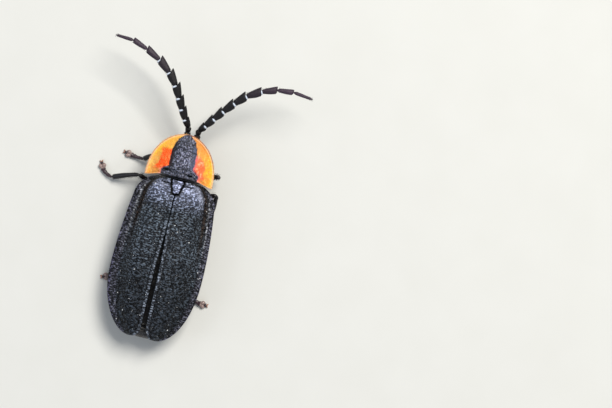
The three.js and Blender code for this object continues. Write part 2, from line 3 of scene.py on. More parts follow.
import bpy
import numpy as np
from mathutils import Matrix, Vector


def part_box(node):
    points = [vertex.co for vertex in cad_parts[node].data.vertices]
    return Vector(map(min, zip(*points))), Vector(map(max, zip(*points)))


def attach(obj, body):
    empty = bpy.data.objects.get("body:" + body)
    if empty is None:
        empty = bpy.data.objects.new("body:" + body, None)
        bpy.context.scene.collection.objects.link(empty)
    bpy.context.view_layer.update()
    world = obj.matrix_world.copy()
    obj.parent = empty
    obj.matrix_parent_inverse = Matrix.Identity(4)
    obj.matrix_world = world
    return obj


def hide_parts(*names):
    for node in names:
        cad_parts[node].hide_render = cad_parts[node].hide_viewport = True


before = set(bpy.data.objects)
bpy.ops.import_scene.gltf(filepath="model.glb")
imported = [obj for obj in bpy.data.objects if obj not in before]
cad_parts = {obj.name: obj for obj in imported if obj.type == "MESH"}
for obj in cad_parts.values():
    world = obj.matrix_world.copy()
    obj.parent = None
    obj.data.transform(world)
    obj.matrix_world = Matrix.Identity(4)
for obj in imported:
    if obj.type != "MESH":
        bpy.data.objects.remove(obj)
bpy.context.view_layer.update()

# A black firefly at life size. Its shapes are worked out in millimetres in the beetle's own plan: +Y runs to
# the head, +X to its right side, z is the height above the floor, and y = 0 is the tip of the scutellum.

MM = 0.001
BODY = "root"
SEED = 20260612

# Places shared with the solids
SCUTELLUM_REAR_Y = 0.03
scutellum_low, scutellum_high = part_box("scutellum")
PLAN_X = (scutellum_low.x + scutellum_high.x) / 2
PLAN_Y = scutellum_low.y - SCUTELLUM_REAR_Y * MM
PLAN_ORIGIN = np.array([PLAN_X, PLAN_Y, 0.0])
BODY_LENGTH = 12.0
FRONT_Y = 0.2938 * BODY_LENGTH
BASE_Y = 0.082 * BODY_LENGTH
TIP_Y = -0.7038 * BODY_LENGTH
SIDES = {"left": -1, "right": 1}


# Small numeric tools

def mix(a, b, t):
    """a where t is 0 and b where it is 1, on a straight line between them."""
    return a + (b - a) * t


def smooth(low, high, x):
    """Rises from 0 at low to 1 at high, level at both ends."""
    t = np.clip((x - low) / (high - low), 0.0, 1.0)
    return t * t * (3.0 - 2.0 * t)


def fall(low, high, x):
    """Falls from 1 at low to 0 at high."""
    return 1 - smooth(low, high, x)


def span(start, full, fade, end, x):
    """0 before start, 1 from full to fade, and 0 again past end."""
    return smooth(start, full, x) * fall(fade, end, x)


def ridge(x, centre, width):
    """A bell of height 1 at centre."""
    return np.exp(-(((x - centre) / width) ** 2))


def unit(vectors):
    """Each vector divided by its length."""
    return vectors / np.maximum(np.linalg.norm(vectors, axis=-1, keepdims=True), 1e-12)


def stacked(x, y, z):
    """Points from three arrays of places, the smaller ones repeated to the shape of the largest."""
    return np.stack(np.broadcast_arrays(x, y, z), axis=-1)


def circle(count):
    """Angles once round, evenly spaced."""
    return np.arange(count) / count * 2 * math.pi


def powered(values, power):
    """Raises the size of each value to a power and keeps its sign."""
    return np.sign(values) * np.abs(values) ** power


def hills(x, y, size_x, size_y, seed):
    """Smooth random hills between -1 and 1: seeded heights on a lattice, blended by smooth steps."""
    table = np.random.default_rng(seed).uniform(-1.0, 1.0, (128, 128))
    across, along = np.asarray(x) / size_x, np.asarray(y) / size_y
    i, j = np.floor(across).astype(int), np.floor(along).astype(int)
    s, t = smooth(0, 1, across - i), smooth(0, 1, along - j)
    near = mix(table[i % 128, j % 128], table[(i + 1) % 128, j % 128], s)
    far = mix(table[i % 128, (j + 1) % 128], table[(i + 1) % 128, (j + 1) % 128], s)
    return mix(near, far, t)


def linear(colour):
    """An sRGB hex colour as linear red, green and blue. What is linear already is given back."""
    if not isinstance(colour, str):
        return colour
    srgb = np.array([int(colour[i:i + 2], 16) for i in (1, 3, 5)]) / 255.0
    return np.where(srgb <= 0.04045, srgb / 12.92, ((srgb + 0.055) / 1.055) ** 2.4)


def rgba(hex_colour):
    """A hex colour as linear red, green and blue, with full opacity."""
    return (*linear(hex_colour), 1.0)


def layered(colour, *layers):
    """Lays tones over a colour, one after another: each layer is a tone and its share at each point."""
    colour = linear(colour)
    for tone, amount in layers:
        colour = mix(colour, linear(tone), amount[:, None])
    return colour


# Closed surfaces, each as points, four-sided faces and three-sided faces

def outward(points, quads, tris):
    """Turns all the faces over if the volume they enclose comes out negative."""
    parts = [tris, quads[:, [0, 1, 2]], quads[:, [0, 2, 3]]]
    a, b, c = (points[np.concatenate(parts)[:, k]] for k in range(3))
    if np.einsum("ij,ij->i", a, np.cross(b, c)).sum() < 0:
        return points, quads[:, ::-1], tris[:, ::-1]
    return points, quads, tris


def tube(rings):
    """Rings of points, each closed on itself and joined to the next by quads, with a fan over each end."""
    count, sides = rings.shape[:2]
    ends = np.stack([rings[0].mean(0), rings[-1].mean(0)])
    points = np.concatenate([rings.reshape(-1, 3), ends])
    start = (np.arange(count - 1) * sides)[:, None]
    here, after = np.arange(sides)[None], (np.arange(sides)[None] + 1) % sides
    quads = np.stack([start + here, start + after, start + sides + after, start + sides + here], -1)
    first, last = np.full(sides, count * sides), np.full(sides, count * sides + 1)
    rim = (count - 1) * sides
    tris = np.concatenate([
        np.stack([first, after[0], here[0]], -1), np.stack([last, rim + here[0], rim + after[0]], -1),
    ])
    return outward(points, quads.reshape(-1, 4), tris)


def joined(shells):
    """Several closed surfaces as one set of points and faces."""
    offsets = np.cumsum([0] + [len(points) for points, _, _ in shells[:-1]])
    return (
        np.concatenate([points for points, _, _ in shells]),
        np.concatenate([quads + offset for (_, quads, _), offset in zip(shells, offsets)]),
        np.concatenate([tris + offset for (_, _, tris), offset in zip(shells, offsets)]),
    )


def limb(path, inner, outer, depth, up=(0.0, 0.0, 1.0), sides=24):
    """Carries an oval section along a path.

    At each point of the path the section reaches inner to one side, outer to the other and depth above and
    below, square to the path.
    """
    along = unit(np.gradient(path, axis=0))
    side = unit(np.cross(along, np.asarray(up)))
    above = np.cross(side, along)
    angle = circle(sides)
    reach = np.where(np.cos(angle)[None] > 0, inner[:, None], outer[:, None]) * np.cos(angle)[None]
    rise = depth[:, None] * np.sin(angle)[None]
    return path[:, None] + side[:, None] * reach[..., None] + above[:, None] * rise[..., None]


def bowed(start, end, bow, count):
    """A path from start to end that swells sideways by bow in its middle: bow times 4t(1 - t)."""
    t = np.linspace(0.0, 1.0, count)[:, None]
    return mix(np.array(start, float), np.array(end, float), t) + 4 * t * (1 - t) * np.array(bow, float)


def rod(start, end, wide, deep=1.0, bow=(0, 0, 0), **section):
    """A closed oval rod on a bowed path: wide is its half width at each step, deep its height as a share."""
    return tube(limb(bowed(start, end, bow, len(wide)), wide, wide, wide * deep, **section))


def rounded_ends(t, first=0.06, last=0.05):
    """1 along the middle of a piece, falling as a quarter circle to almost 0 at each end."""
    start = np.sqrt(1 - (1 - np.clip(t / first, 0.02, 1.0)) ** 2)
    end = np.sqrt(1 - (1 - np.clip((1 - t) / last, 0.02, 1.0)) ** 2)
    return start * end


def ring_steps(count):
    """Steps from 0 to 1 that crowd together at both ends, so that round ends come out round."""
    t = np.linspace(0.0, 1.0, count)
    return mix(t, 0.5 - 0.5 * np.cos(math.pi * t), 0.7)


def add_piece(name, shell, material, slot, replaces=(), paint=None, grid_map=None, bake_map=None):
    """Makes one object of a closed surface given in plan millimetres, and lets it ride on the body.

    paint is a linear colour for each point, grid_map a pair of distances for each point that a pattern
    follows, and bake_map the place of each point on the unwrapped skin.
    """
    points, quads, tris = shell
    mesh = bpy.data.meshes.new(name)
    mesh.from_pydata((points * MM + PLAN_ORIGIN).tolist(), [], quads.tolist() + tris.tolist())
    mesh.polygons.foreach_set("use_smooth", np.ones(len(mesh.polygons), bool))
    corners = np.empty(len(mesh.loops), int)
    mesh.loops.foreach_get("vertex_index", corners)
    if paint is not None:
        colours = np.concatenate([paint, np.ones((len(points), 1))], axis=1)
        mesh.color_attributes.new("tint", "FLOAT_COLOR", "POINT").data.foreach_set("color", colours.ravel())
    for map_name, places in (("grain", grid_map), ("OFBake", bake_map)):
        if places is not None:
            mesh.uv_layers.new(name=map_name).data.foreach_set("uv", places[corners].ravel())
    mesh.materials.append(material)
    mesh.update()
    piece = bpy.data.objects.new(name, mesh)
    bpy.context.scene.collection.objects.link(piece)
    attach(piece, BODY)
    if replaces:
        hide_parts(*replaces)


# Materials

FEEDS = {"ShaderNodeTexCoord": "Object", "ShaderNodeMix": 2}
MIX_FACTOR, MIX_A, MIX_B = 0, 6, 7
# How far rubbed and fresh patches of a cuticle differ from its roughness
RUBBED = 0.08


def new_material(name, recipe, **choices):
    """Makes a material from a recipe, which adds its nodes and gives back the shader.

    add takes a node's kind and its settings and inputs, as words with _ for a space, or as numbers where
    names repeat. An input takes a value or the node that feeds it, by its main output.
    """
    material = bpy.data.materials.new(name)
    material.use_nodes = True
    tree = material.node_tree
    tree.nodes.clear()

    def add(kind, numbered=None, **worded):
        """Sets the node's own settings first and then its inputs."""
        made = tree.nodes.new("ShaderNode" + kind)
        sockets = {word.replace("_", " "): word for word in worded}
        for socket, word in sockets.items():
            if socket not in made.inputs:
                setattr(made, word, worded[word])
        given = {socket: worded[word] for socket, word in sockets.items() if socket in made.inputs}
        for socket, value in {**given, **(numbered or {})}.items():
            if isinstance(value, bpy.types.Node):
                tree.links.new(value.outputs[FEEDS.get(value.bl_idname, 0)], made.inputs[socket])
            else:
                made.inputs[socket].default_value = value
        return made

    add("OutputMaterial", Surface=recipe(add, add("TexCoord"), **choices))
    return material


def per_mm(size):
    """A texture scale for features of this size in millimetres, on coordinates in metres."""
    return 1.0 / (size * MM)


def tinted(add, pattern, other, tone=None, haze=0.0):
    """A hex tone, or the piece's painted tint, multiplied by two patterns that vary over the surface.

    With haze, the paler the paint is, the less of the patterns shows through it, as pale paint laid on as a
    painted reflection veils them.
    """
    brightness = add("Math", {0: pattern, 1: other}, operation="MULTIPLY")
    painted = rgba(tone) if tone else add("Attribute", attribute_name="tint")
    patterned = add(
        "Mix", {MIX_FACTOR: 1.0, MIX_A: painted, MIX_B: brightness}, data_type="RGBA", blend_type="MULTIPLY",
    )
    if not haze:
        return patterned
    # Pale paint that stands for a painted reflection hides the patterns under it.
    veil = add("Math", {0: add("RGBToBW", Color=painted), 1: haze}, operation="MULTIPLY", use_clamp=True)
    return add("Mix", {MIX_FACTOR: veil, MIX_A: patterned, MIX_B: painted}, data_type="RGBA")


def cuticle(add, place, roughness, grain, depth, shade, sheen=0.0, coat=0.0, tone=None):
    """Insect cuticle, a tanned chitin: a satin skin with granules that a lens just resolves.

    The granules dimple its gloss, their tops are painted paler as highlights and the pits between them darker
    as painted shade, and a veil of very short hair may pale its edges. tone is a hex colour, or None where
    the piece is painted point by point.
    """
    granules = add("TexVoronoi", Vector=place, feature="SMOOTH_F1", Scale=per_mm(grain), Smoothness=0.6)
    mottle = add("TexNoise", Vector=place, Scale=per_mm(grain * 6), Detail=5.0, Roughness=0.65)
    # Painted highlight on the granule tops, painted shade in the pits between them.
    pits = add(
        "MapRange", Value=granules, From_Min=0.15, From_Max=0.85, To_Min=1 + shade / 2, To_Max=1 - shade,
    )
    cloud = add("MapRange", Value=mottle, From_Min=0.3, From_Max=0.7, To_Min=0.8, To_Max=1.2)
    rubbed = add(
        "MapRange", Value=mottle, From_Min=0.3, From_Max=0.7, To_Min=roughness - RUBBED,
        To_Max=roughness + RUBBED,
    )
    return add(
        "BsdfPrincipled", Base_Color=tinted(add, pits, cloud, tone), Roughness=rubbed,
        Normal=add("Bump", Height=granules, Strength=0.9, Distance=depth * MM, invert=True),
        IOR=1.5, Specular_IOR_Level=0.35, Sheen_Weight=sheen, Sheen_Roughness=0.4, Sheen_Tint=rgba("#aab4cc"),
        Coat_Weight=coat, Coat_Roughness=0.25,
    )


def wrinkled_cuticle(add, place):
    """Wrinkled black cuticle: a dull skin thrown into granules and short cross wrinkles.

    The crests, about 0.11 mm apart, are painted pale as highlights where they catch the light, and the pits
    between them are painted black as shade.
    """
    across = add("Mapping", Vector=place, Scale=(1.0, 1.7, 1.0))
    wrinkles = add("TexNoise", Vector=across, Scale=per_mm(0.135), Detail=1.0, Roughness=0.5, Distortion=0.3)
    patches = add("TexNoise", Vector=place, Scale=per_mm(0.7), Detail=2.0)
    # Painted highlights on the crests and painted shade in the pits, laid into the colour.
    crests = add(
        "MapRange", Value=wrinkles, interpolation_type="SMOOTHSTEP", From_Min=0.45, From_Max=0.7, To_Min=0.04,
        To_Max=4.6,
    )
    worn = add("MapRange", Value=patches, From_Min=0.35, From_Max=0.65, To_Min=0.75, To_Max=1.3)
    # The pale paint of the shoulders is a painted reflection, and the haze keeps the crests from showing
    # through it.
    return add(
        "BsdfPrincipled", Base_Color=tinted(add, crests, worn, haze=2.4), Roughness=0.45,
        IOR=1.5, Specular_IOR_Level=0.12,
        Normal=add("Bump", Height=wrinkles, Strength=1.0, Distance=0.04 * MM),
    )


def shield_cuticle(add, place):
    """Thin amber cuticle: horn-like and a little see-through, so light goes some way into it and warms it.

    Fine streaks run out to its rim, where it is thinnest, and small granules break up its gloss, their tops
    painted a little paler as highlights and the pits between them a little darker as painted shade.
    """
    stretch = add("Mapping", Vector=add("UVMap", uv_map="grain"), Scale=(9.0, 1.6, 1.0))
    streaks = add("TexNoise", Vector=stretch, Scale=1.5, Detail=4.0, Roughness=0.6)
    granules = add("TexVoronoi", Vector=place, feature="SMOOTH_F1", Scale=per_mm(0.075), Smoothness=0.5)
    streaked = add("MapRange", Value=streaks, From_Min=0.3, From_Max=0.7, To_Min=0.82, To_Max=1.22)
    # Painted highlight on the granule tops, painted shade between them.
    pits = add("MapRange", Value=granules, From_Min=0.2, From_Max=0.8, To_Min=1.08, To_Max=0.92)
    return add(
        "BsdfPrincipled", Base_Color=tinted(add, streaked, pits), Roughness=0.45, IOR=1.5,
        Specular_IOR_Level=0.22, Subsurface_Weight=0.12, Subsurface_Radius=(1.0, 0.45, 0.15),
        Subsurface_Scale=0.15 * MM,
        Normal=add("Bump", Height=granules, Strength=0.8, Distance=0.02 * MM, invert=True),
    )


def faceted_eye(add, place):
    """Compound eye: a dark, glossy dome of lenses about 0.03 mm apart, which break its highlight up."""
    lenses = add("TexVoronoi", Vector=place, Scale=per_mm(0.032), Randomness=0.35)
    tone = add("Mix", {MIX_FACTOR: lenses, MIX_A: rgba("#1d1716"), MIX_B: rgba("#070607")}, data_type="RGBA")
    return add(
        "BsdfPrincipled", Base_Color=tone, Roughness=0.16, IOR=1.5, Coat_Weight=0.4, Coat_Roughness=0.08,
        Normal=add("Bump", Height=lenses, Strength=0.7, Distance=0.008 * MM, invert=True),
    )


def mingled(add, place, dark, pale, size, detail, roughness, ior, crease=None):
    """One stuff in two near tones: noise of a given size mingles them and, with a crease depth, folds it."""
    noise = add("TexNoise", Vector=place, Scale=per_mm(size), Detail=detail)
    tone = add("Mix", {MIX_FACTOR: noise, MIX_A: rgba(dark), MIX_B: rgba(pale)}, data_type="RGBA")
    relief = {"Normal": add("Bump", Height=noise, Strength=0.5, Distance=crease * MM)} if crease else {}
    return add("BsdfPrincipled", Base_Color=tone, Roughness=roughness, IOR=ior, **relief)


def membrane(name, dark, pale, roughness):
    """Membrane: soft, unhardened cuticle, milky or smoky and faintly folded. Dust is as soft and uneven."""
    choices = {"size": 0.06, "detail": 3.0, "ior": 1.45, "crease": 0.01}
    return new_material(name, mingled, dark=dark, pale=pale, roughness=roughness, **choices)


def seta(name, root, tip, roughness):
    """Seta, a stiff insect hair: a plain tapered bristle whose shaft catches the light along its length."""
    choices = {"size": 0.3, "detail": 2.0, "ior": 1.55}
    return new_material(name, mingled, dark=root, pale=tip, roughness=roughness, **choices)


# Granules on a firefly's limbs lie about 0.04 mm apart.
WING_CASE = new_material("wrinkled_black_chitin", wrinkled_cuticle)
TRUNK = new_material(
    "smooth_black_chitin", cuticle, roughness=0.4, grain=0.06, depth=0.012, shade=0.35, sheen=0.04, coat=0.1,
)
LIMBS = new_material(
    "limb_chitin", cuticle, roughness=0.34, grain=0.04, depth=0.008, shade=0.35, sheen=0.05, coat=0.15,
)
ANTENNA = new_material(
    "antenna_chitin", cuticle, roughness=0.5, grain=0.045, depth=0.014, shade=0.45, sheen=0.06,
)
CLAW = new_material(
    "claw_chitin", cuticle, tone="#a87a66", roughness=0.3, grain=0.05, depth=0.003, shade=0.2, coat=0.2,
)
SHIELD = new_material("amber_chitin_shield", shield_cuticle)
EYE = new_material("compound_eye_lens", faceted_eye)
JOINT_MEMBRANE = membrane("milky_joint_membrane", "#aebfd4", "#eef4ff", 0.4)
WING_MEMBRANE = membrane("smoky_wing_membrane", "#0c0b0d", "#1c1a1d", 0.4)
DUST = membrane("chalky_dust", "#c9cdd2", "#ffffff", 0.9)
SOOTY_SETA = seta("sooty_seta", "#08090b", "#4c515b", 0.5)
PALE_SETA = seta("pale_seta", "#25272d", "#8a8f9a", 0.4)
DARK_SETA = seta("dark_seta", "#161417", "#3a3438", 0.45)
GOLD_SETA = seta("gold_seta", "#dc8c34", "#f4c870", 0.4)
# Matt white board: even and pale, with the faintest paper grain
FLOOR_BOARD = new_material(
    "matt_white_board", mingled, dark="#cfd0cc", pale="#d4d5d2", size=3.0, detail=2.0, roughness=0.9, ior=1.5,
)


# Wing cases

ELYTRON_FRONT_Y = BASE_Y - 0.13
ELYTRON_LENGTH = ELYTRON_FRONT_Y - TIP_Y
ELYTRON_HALF_WIDTH = 2.64
ELYTRON_APEX_X = 0.8
ELYTRON_LEFT_FULLNESS = 0.11
CREST_Z = 3.13
SHOULDER_Z = 2.86
APEX_Z = 2.5
ELYTRON_DROP = 1.25
ELYTRON_REAR_DROP = 0.8
TIP_DROP = 0.35
ELYTRON_SHELL = 0.24
ELYTRON_EDGE = 0.075
SCUTELLUM_HALF_BASE = 0.36
SCUTELLUM_HALF_TIP = 0.19
SCUTELLUM_LENGTH = 0.76
ELYTRON_PITCH = 0.036
COSTAE = (0.24, 0.42, 0.58)


def along_elytron(y):
    """How far back y lies on a wing case: 0 at its front edge, 1 at its tip."""
    return (ELYTRON_FRONT_Y - y) / ELYTRON_LENGTH


def elytron_y(u):
    """The y that lies the share u of a wing case's length behind its front edge."""
    return ELYTRON_FRONT_Y - u * ELYTRON_LENGTH


def tip_drop(u):
    """How far a wing case bends down at its tip."""
    return TIP_DROP * smooth(0.85, 1, u)


def crest(u):
    """Height of the ridge line: level over the middle, lower at the shoulders and towards the tips."""
    front = (CREST_Z - SHOULDER_Z) * fall(0, 0.16, u)
    rear = (CREST_Z - APEX_Z) * smooth(0.45, 1.12, u) * 1.25
    return CREST_Z - front - rear - tip_drop(u)


def elytron_outer(u, side=1):
    """Outer edge: a bowed side with a round shoulder and a round end, the left one a little fuller."""
    bow = 1 - 0.18 * (np.maximum(0, 0.55 - u) / 0.55) ** 2
    shoulder = 0.5 + 0.5 * np.sqrt(1 - (1 - np.minimum(1, u / 0.12)) ** 2)
    end = (1 - np.clip((u - 0.55) / 0.45, 0, 1) ** 2.3) ** 0.55
    fuller = ELYTRON_LEFT_FULLNESS * ridge(u, 0.72, 0.26) * (side < 0)
    return ELYTRON_APEX_X + (ELYTRON_HALF_WIDTH * bow * shoulder - ELYTRON_APEX_X + fuller) * end


def scutellum_half(y):
    """Half width of the scutellum, growing smoothly from its tip to its base."""
    return mix(SCUTELLUM_HALF_TIP, SCUTELLUM_HALF_BASE, smooth(0, 1, y / SCUTELLUM_LENGTH))


def elytron_inner(u):
    """Inner edge: round the scutellum, down a seam that opens slowly, and out to its own round tip."""
    y = elytron_y(u)
    notch = (scutellum_half(y) - 0.01) * smooth(-0.07, 0.07, y) ** 0.7
    seam = mix(0.004, 0.125, smooth(0.24, 0.6, u))
    tip = (ELYTRON_APEX_X - 0.25) * (1 - np.sqrt(1 - np.clip((u - 0.93) / 0.07, 0, 1) ** 2))
    return seam + notch + tip


def side_furrow(u, q):
    """The long furrow outside the shoulder: 1 in its middle, narrowing and fading out past half way back."""
    return ridge(q, 0.745, mix(0.07, 0.03, smooth(0.05, 0.5, u))) * span(0.01, 0.06, 0.25, 0.6, u)


def front_groove(u, x):
    """The short oblique groove behind the front edge, from beside the scutellum to the shoulder."""
    line = 0.52 + 0.3 * (x - 0.45) + 0.05 * np.sin(5 * x)
    return ridge(elytron_y(u), line, 0.045) * span(0.36, 0.46, 0.85, 1.15, x)


def elytron_height(u, x):
    """Top of a wing case: nearly level over the back, rolling down to a flattened margin.

    It carries a bead along the seam, three faint ribs, a raised shoulder with a furrow and a thin keel
    outside it, a groove behind its front edge, and a rim bead.
    """
    q = np.clip(x / elytron_outer(u), 0, 1)
    drop = mix(ELYTRON_DROP, ELYTRON_REAR_DROP, smooth(0.55, 1, u)) - tip_drop(u)
    roll = 0.62 * q ** 2.6 + 0.38 * smooth(0.45, 0.86, q)
    bead = 0.05 * span(0, 0.05, 0.16, 0.24, x - elytron_inner(u)) * smooth(0.1, 0.2, u)
    ribs = sum(0.022 * ridge(q, at, 0.035) for at in COSTAE) * span(0.04, 0.2, 0.8, 0.95, u)
    shoulder = 0.15 * ridge(q, 0.6, 0.12) * ridge(u, 0.08, 0.075)
    furrow = -0.14 * side_furrow(u, q)
    keel = 0.05 * ridge(q, 0.845, 0.025) * span(0.03, 0.1, 0.25, 0.5, u)
    rim = 0.05 * smooth(0.93, 0.985, q) * span(0.03, 0.12, 0.88, 0.98, u)
    return crest(u) - drop * roll + bead + ribs + shoulder + furrow + keel + rim - 0.09 * front_groove(u, x)


def elytron_grain(u, x):
    """Granules and cross wrinkles, about 0.1 to 0.2 mm long across the wing case and half that along it."""
    y = u * ELYTRON_LENGTH
    fine = hills(x, y, 0.13, 0.07, SEED) + 0.7 * hills(x + 3.1, y, 0.08, 0.06, SEED + 1)
    coarse = hills(x, y, 0.5, 0.3, SEED + 2)
    bead = smooth(0.12, 0.26, x - elytron_inner(u))
    return (0.016 * fine + 0.01 * coarse) * mix(0.3, 1.0, bead)


def elytron_section(u, side):
    """One closed ring round a wing case for each u.

    It runs out along the top, round the rolled outer edge, back underneath and up round the edge at the seam.
    """
    inner, outer = elytron_inner(u), elytron_outer(u, side)
    front = np.sqrt(1 - (1 - np.clip(u / 0.012, 0.05, 1)) ** 2)
    edge = (np.minimum(ELYTRON_EDGE, 0.42 * (outer - inner)) * front)[:, None]
    low, high = inner[:, None] + edge, outer[:, None] - edge
    along = u[:, None]
    top_x = mix(low, high, ring_steps(int(ELYTRON_HALF_WIDTH / ELYTRON_PITCH))[None])
    top_z = elytron_height(along, top_x) + elytron_grain(along, top_x)
    under_x = mix(high, low, ring_steps(22)[None])
    thick = np.maximum(ELYTRON_SHELL * smooth(-0.02, 0.05, along) * smooth(-0.02, 0.05, 1 - along), 0)
    to_edge = np.minimum(under_x - low, high - under_x)
    fallen = 2 * edge + np.maximum(thick - 2 * edge, 0) * smooth(0, 0.25, to_edge)
    turn = np.linspace(math.pi / 2, -math.pi / 2, 9)[1:-1][None]
    out_z = elytron_height(along, high) - edge * (1 - np.sin(turn))
    in_z = elytron_height(along, low) - edge * (1 + np.sin(turn))
    x = np.concatenate([top_x, high + edge * np.cos(turn), under_x, low - edge * np.cos(turn)], axis=1)
    z = np.concatenate([top_z, out_z, elytron_height(along, under_x) - fallen, in_z], axis=1)
    return stacked(side * x, elytron_y(along), z)


def elytron_paint(points):
    """Mean tones: black, greyer in front and darker behind as painted light, with blue-grey shoulders and
    seam beads.

    The shoulders' blue-grey is a painted reflection with a painted glint, and the pale keels carry a painted
    highlight. The furrows are brown and darkened by painted shade. Painted shade blackens the seam in front,
    the groove behind the front edge and the edge by the scutellum, and the rims are violet. The right
    shoulder is a little paler and wider, and the right wing case darker behind it.
    """
    x, y = np.abs(points[:, 0]), points[:, 1]
    right = points[:, 0] > 0
    u = np.clip(along_elytron(y), 0, 1)
    q = np.clip(x / elytron_outer(u), 0, 1)
    inner = x - elytron_inner(u)
    wander = 0.02 * hills(x, y, 0.3, 0.3, SEED + 12)
    bead = span(0.01, 0.05, 0.15, 0.19, inner) * smooth(0.2, 0.36, u)
    beside_bead = ridge(inner, 0.23, 0.035) * smooth(0.2, 0.36, u)
    # Painted shade in the closed seam in front.
    seam = fall(0.015, 0.05, inner) * fall(0.25, 0.33, u)
    # Painted shade in the groove beside the scutellum.
    plate_groove_shade = fall(0.07, 0.12, x - scutellum_half(y)) * smooth(-0.12, -0.02, y)
    q = q - 0.045 * right * fall(0.85, 0.95, q)
    # Painted reflection: the blue-grey shoulders, where light from the front glances off them.
    shoulder = fall(0.69, 0.73, q + wander) * fall(0.04, 0.22, u + 0.5 * wander) * smooth(0.0, 0.02, u)
    # Painted glint on the shoulders.
    shoulder_glint = ridge(q, 0.64, 0.08) * ridge(u, 0.075, 0.05) * right
    shoulder_glint = shoulder_glint + 0.6 * ridge(q, 0.4, 0.2) * ridge(u, 0.035, 0.03)
    # The furrows: brown, and darkened further by painted shade.
    furrow = span(0.7, 0.73, 0.76, 0.8, q) * fall(0.1, 0.35, u) + side_furrow(u, q)
    # Painted highlight along the pale keel.
    keel = ridge(q, 0.845, 0.018) * span(0.04, 0.12, 0.3, 0.55, u)
    # Painted light from the front: greyer in front, darker behind.
    ground = layered("#353c44", ("#1e2329", smooth(0.2, 0.9, u)))
    ground = ground * mix(1.0, 0.82, np.where(right, 1.0, smooth(0.4, 0.9, u)))[:, None]
    return layered(
        ground, ("#35363f", smooth(0.8, 0.86, q)), ("#70778f", shoulder * np.where(right, 0.95, 0.85)),
        ("#a4aac0", 0.6 * shoulder_glint), ("#1a120d", np.clip(furrow, 0, 1)), ("#74767c", 0.8 * keel),
        ("#4d535d", 0.9 * bead), ("#08090b", 0.8 * beside_bead), ("#050506", seam), ("#050507", plate_groove_shade),
        # Painted shade in the groove behind the front edge.
        ("#08080a", np.clip(front_groove(u, x) * 1.3, 0, 1)), ("#262535", 0.7 * smooth(0.968, 0.985, q)),
    )


def make_elytra():
    """One closed skin for each wing case, from rings that run from its front edge to its tip."""
    u = ring_steps(int(ELYTRON_LENGTH / ELYTRON_PITCH))
    for name, side in SIDES.items():
        shell = tube(elytron_section(u, side))
        add_piece(
            f"elytron_{name}_skin", shell, WING_CASE, "grey_cuticle", [f"elytron_{name}"],
            paint=elytron_paint(shell[0]),
        )


# Scutellum

def make_scutellum():
    """The small plate between the wing cases: a blunt wedge in plan, gently domed, with rolled edges."""
    t = ring_steps(40)
    y = mix(SCUTELLUM_LENGTH + 0.06, SCUTELLUM_REAR_Y, t)[:, None]
    half = scutellum_half(y[:, 0]) * np.sqrt(1 - np.clip((t - 0.86) / 0.14, 0, 0.999) ** 2) + 0.004
    across, rise = powered(np.cos(circle(56)), 0.6)[None], powered(np.sin(circle(56)), 0.7)[None]
    x = half[:, None] * across
    z = mix(2.76, 2.86, t)[:, None] + 0.13 * rounded_ends(t, 0.08, 0.1)[:, None] * rise - 0.05 * across ** 2
    shell = tube(stacked(x, y, z + 0.008 * hills(x, y + 9, 0.09, 0.09, SEED + 3)))
    x, y = shell[0][:, 0], shell[0][:, 1]
    # Painted shade: black along the edges and the rear tip, where the plate meets the wing cases; blue-grey
    # on the flat top.
    flat = fall(0.72, 0.92, np.abs(x) / scutellum_half(y)) * smooth(0.03, 0.12, y)
    pit = ridge(x, -0.02, 0.12) * ridge(y, 0.71, 0.045)
    paint = layered("#0b0c10", ("#71778f", flat * (1 - pit)))
    add_piece("scutellum_skin", shell, WING_CASE, "grey_cuticle", ["scutellum"], paint=paint)


# Shield over the head

SHIELD_X = -0.04
SHIELD_HALF_WIDTH = 1.98
SHIELD_CORNER_Y = 0.78
SHIELD_Z = 2.95
SHIELD_MIDDLE = (0.0, 1.9)
SHIELD_SHELL = 0.3
SHIELD_EDGE = 0.05
SHIELD_FRONT_SHARE = 0.68
SHIELD_AROUND, SHIELD_TOP, SHIELD_TURN, SHIELD_UNDER = 400, 130, 6, 26


def shield_half(p):
    """Half width from p = 0 at the rear corners to 1 at the front."""
    return SHIELD_HALF_WIDTH * (1 - np.clip(p, 0, 1) ** 2.4) ** 0.55


def band_half(y):
    """Half width of the black band: narrow in front, waisted, with a flare at its base."""
    p = (y - SHIELD_CORNER_Y) / (FRONT_Y - SHIELD_CORNER_Y)
    body = 0.71 * (1 - np.clip((p - 0.42) / 0.57, 0, 1) ** 3) ** 0.6
    return body + 0.02 * ridge(p, 0.6, 0.14) + 0.36 * fall(0.17, 0.31, p)


def base_relief(x, y):
    """Rough ground along the base of the back.

    A shallow groove wanders across it, with pits and bumps beside it, a skew fold on the right, and lumps
    all over it.
    """
    on_base = fall(1.45, 1.7, y) * fall(0.95, 1.2, np.abs(x))
    wander = 0.08 * hills(x, y * 0 + 3, 0.3, 1, SEED + 9)
    groove = -0.04 * ridge(y, 1.3 + wander, 0.05) * ridge(x, -0.1, 0.6)
    pits = -0.15 * (ridge(x, -0.8, 0.16) * ridge(y, 1.3, 0.07) + ridge(x, 0.6, 0.2) * ridge(y, 1.2, 0.05))
    bumps = 0.12 * ridge(x, -0.82, 0.12) * ridge(y, 1.47, 0.07)
    bumps = bumps + 0.07 * ridge(x, -0.35, 0.2) * ridge(y, 1.46, 0.07)
    fold = 0.13 * ridge(y, 1.58 - 0.72 * (x - 0.59), 0.045) * span(0.45, 0.6, 0.9, 1.05, x)
    lumps = 0.045 * hills(x + 2, y, 0.2, 0.13, SEED + 10)
    return on_base * (groove + pits + bumps + fold + lumps)


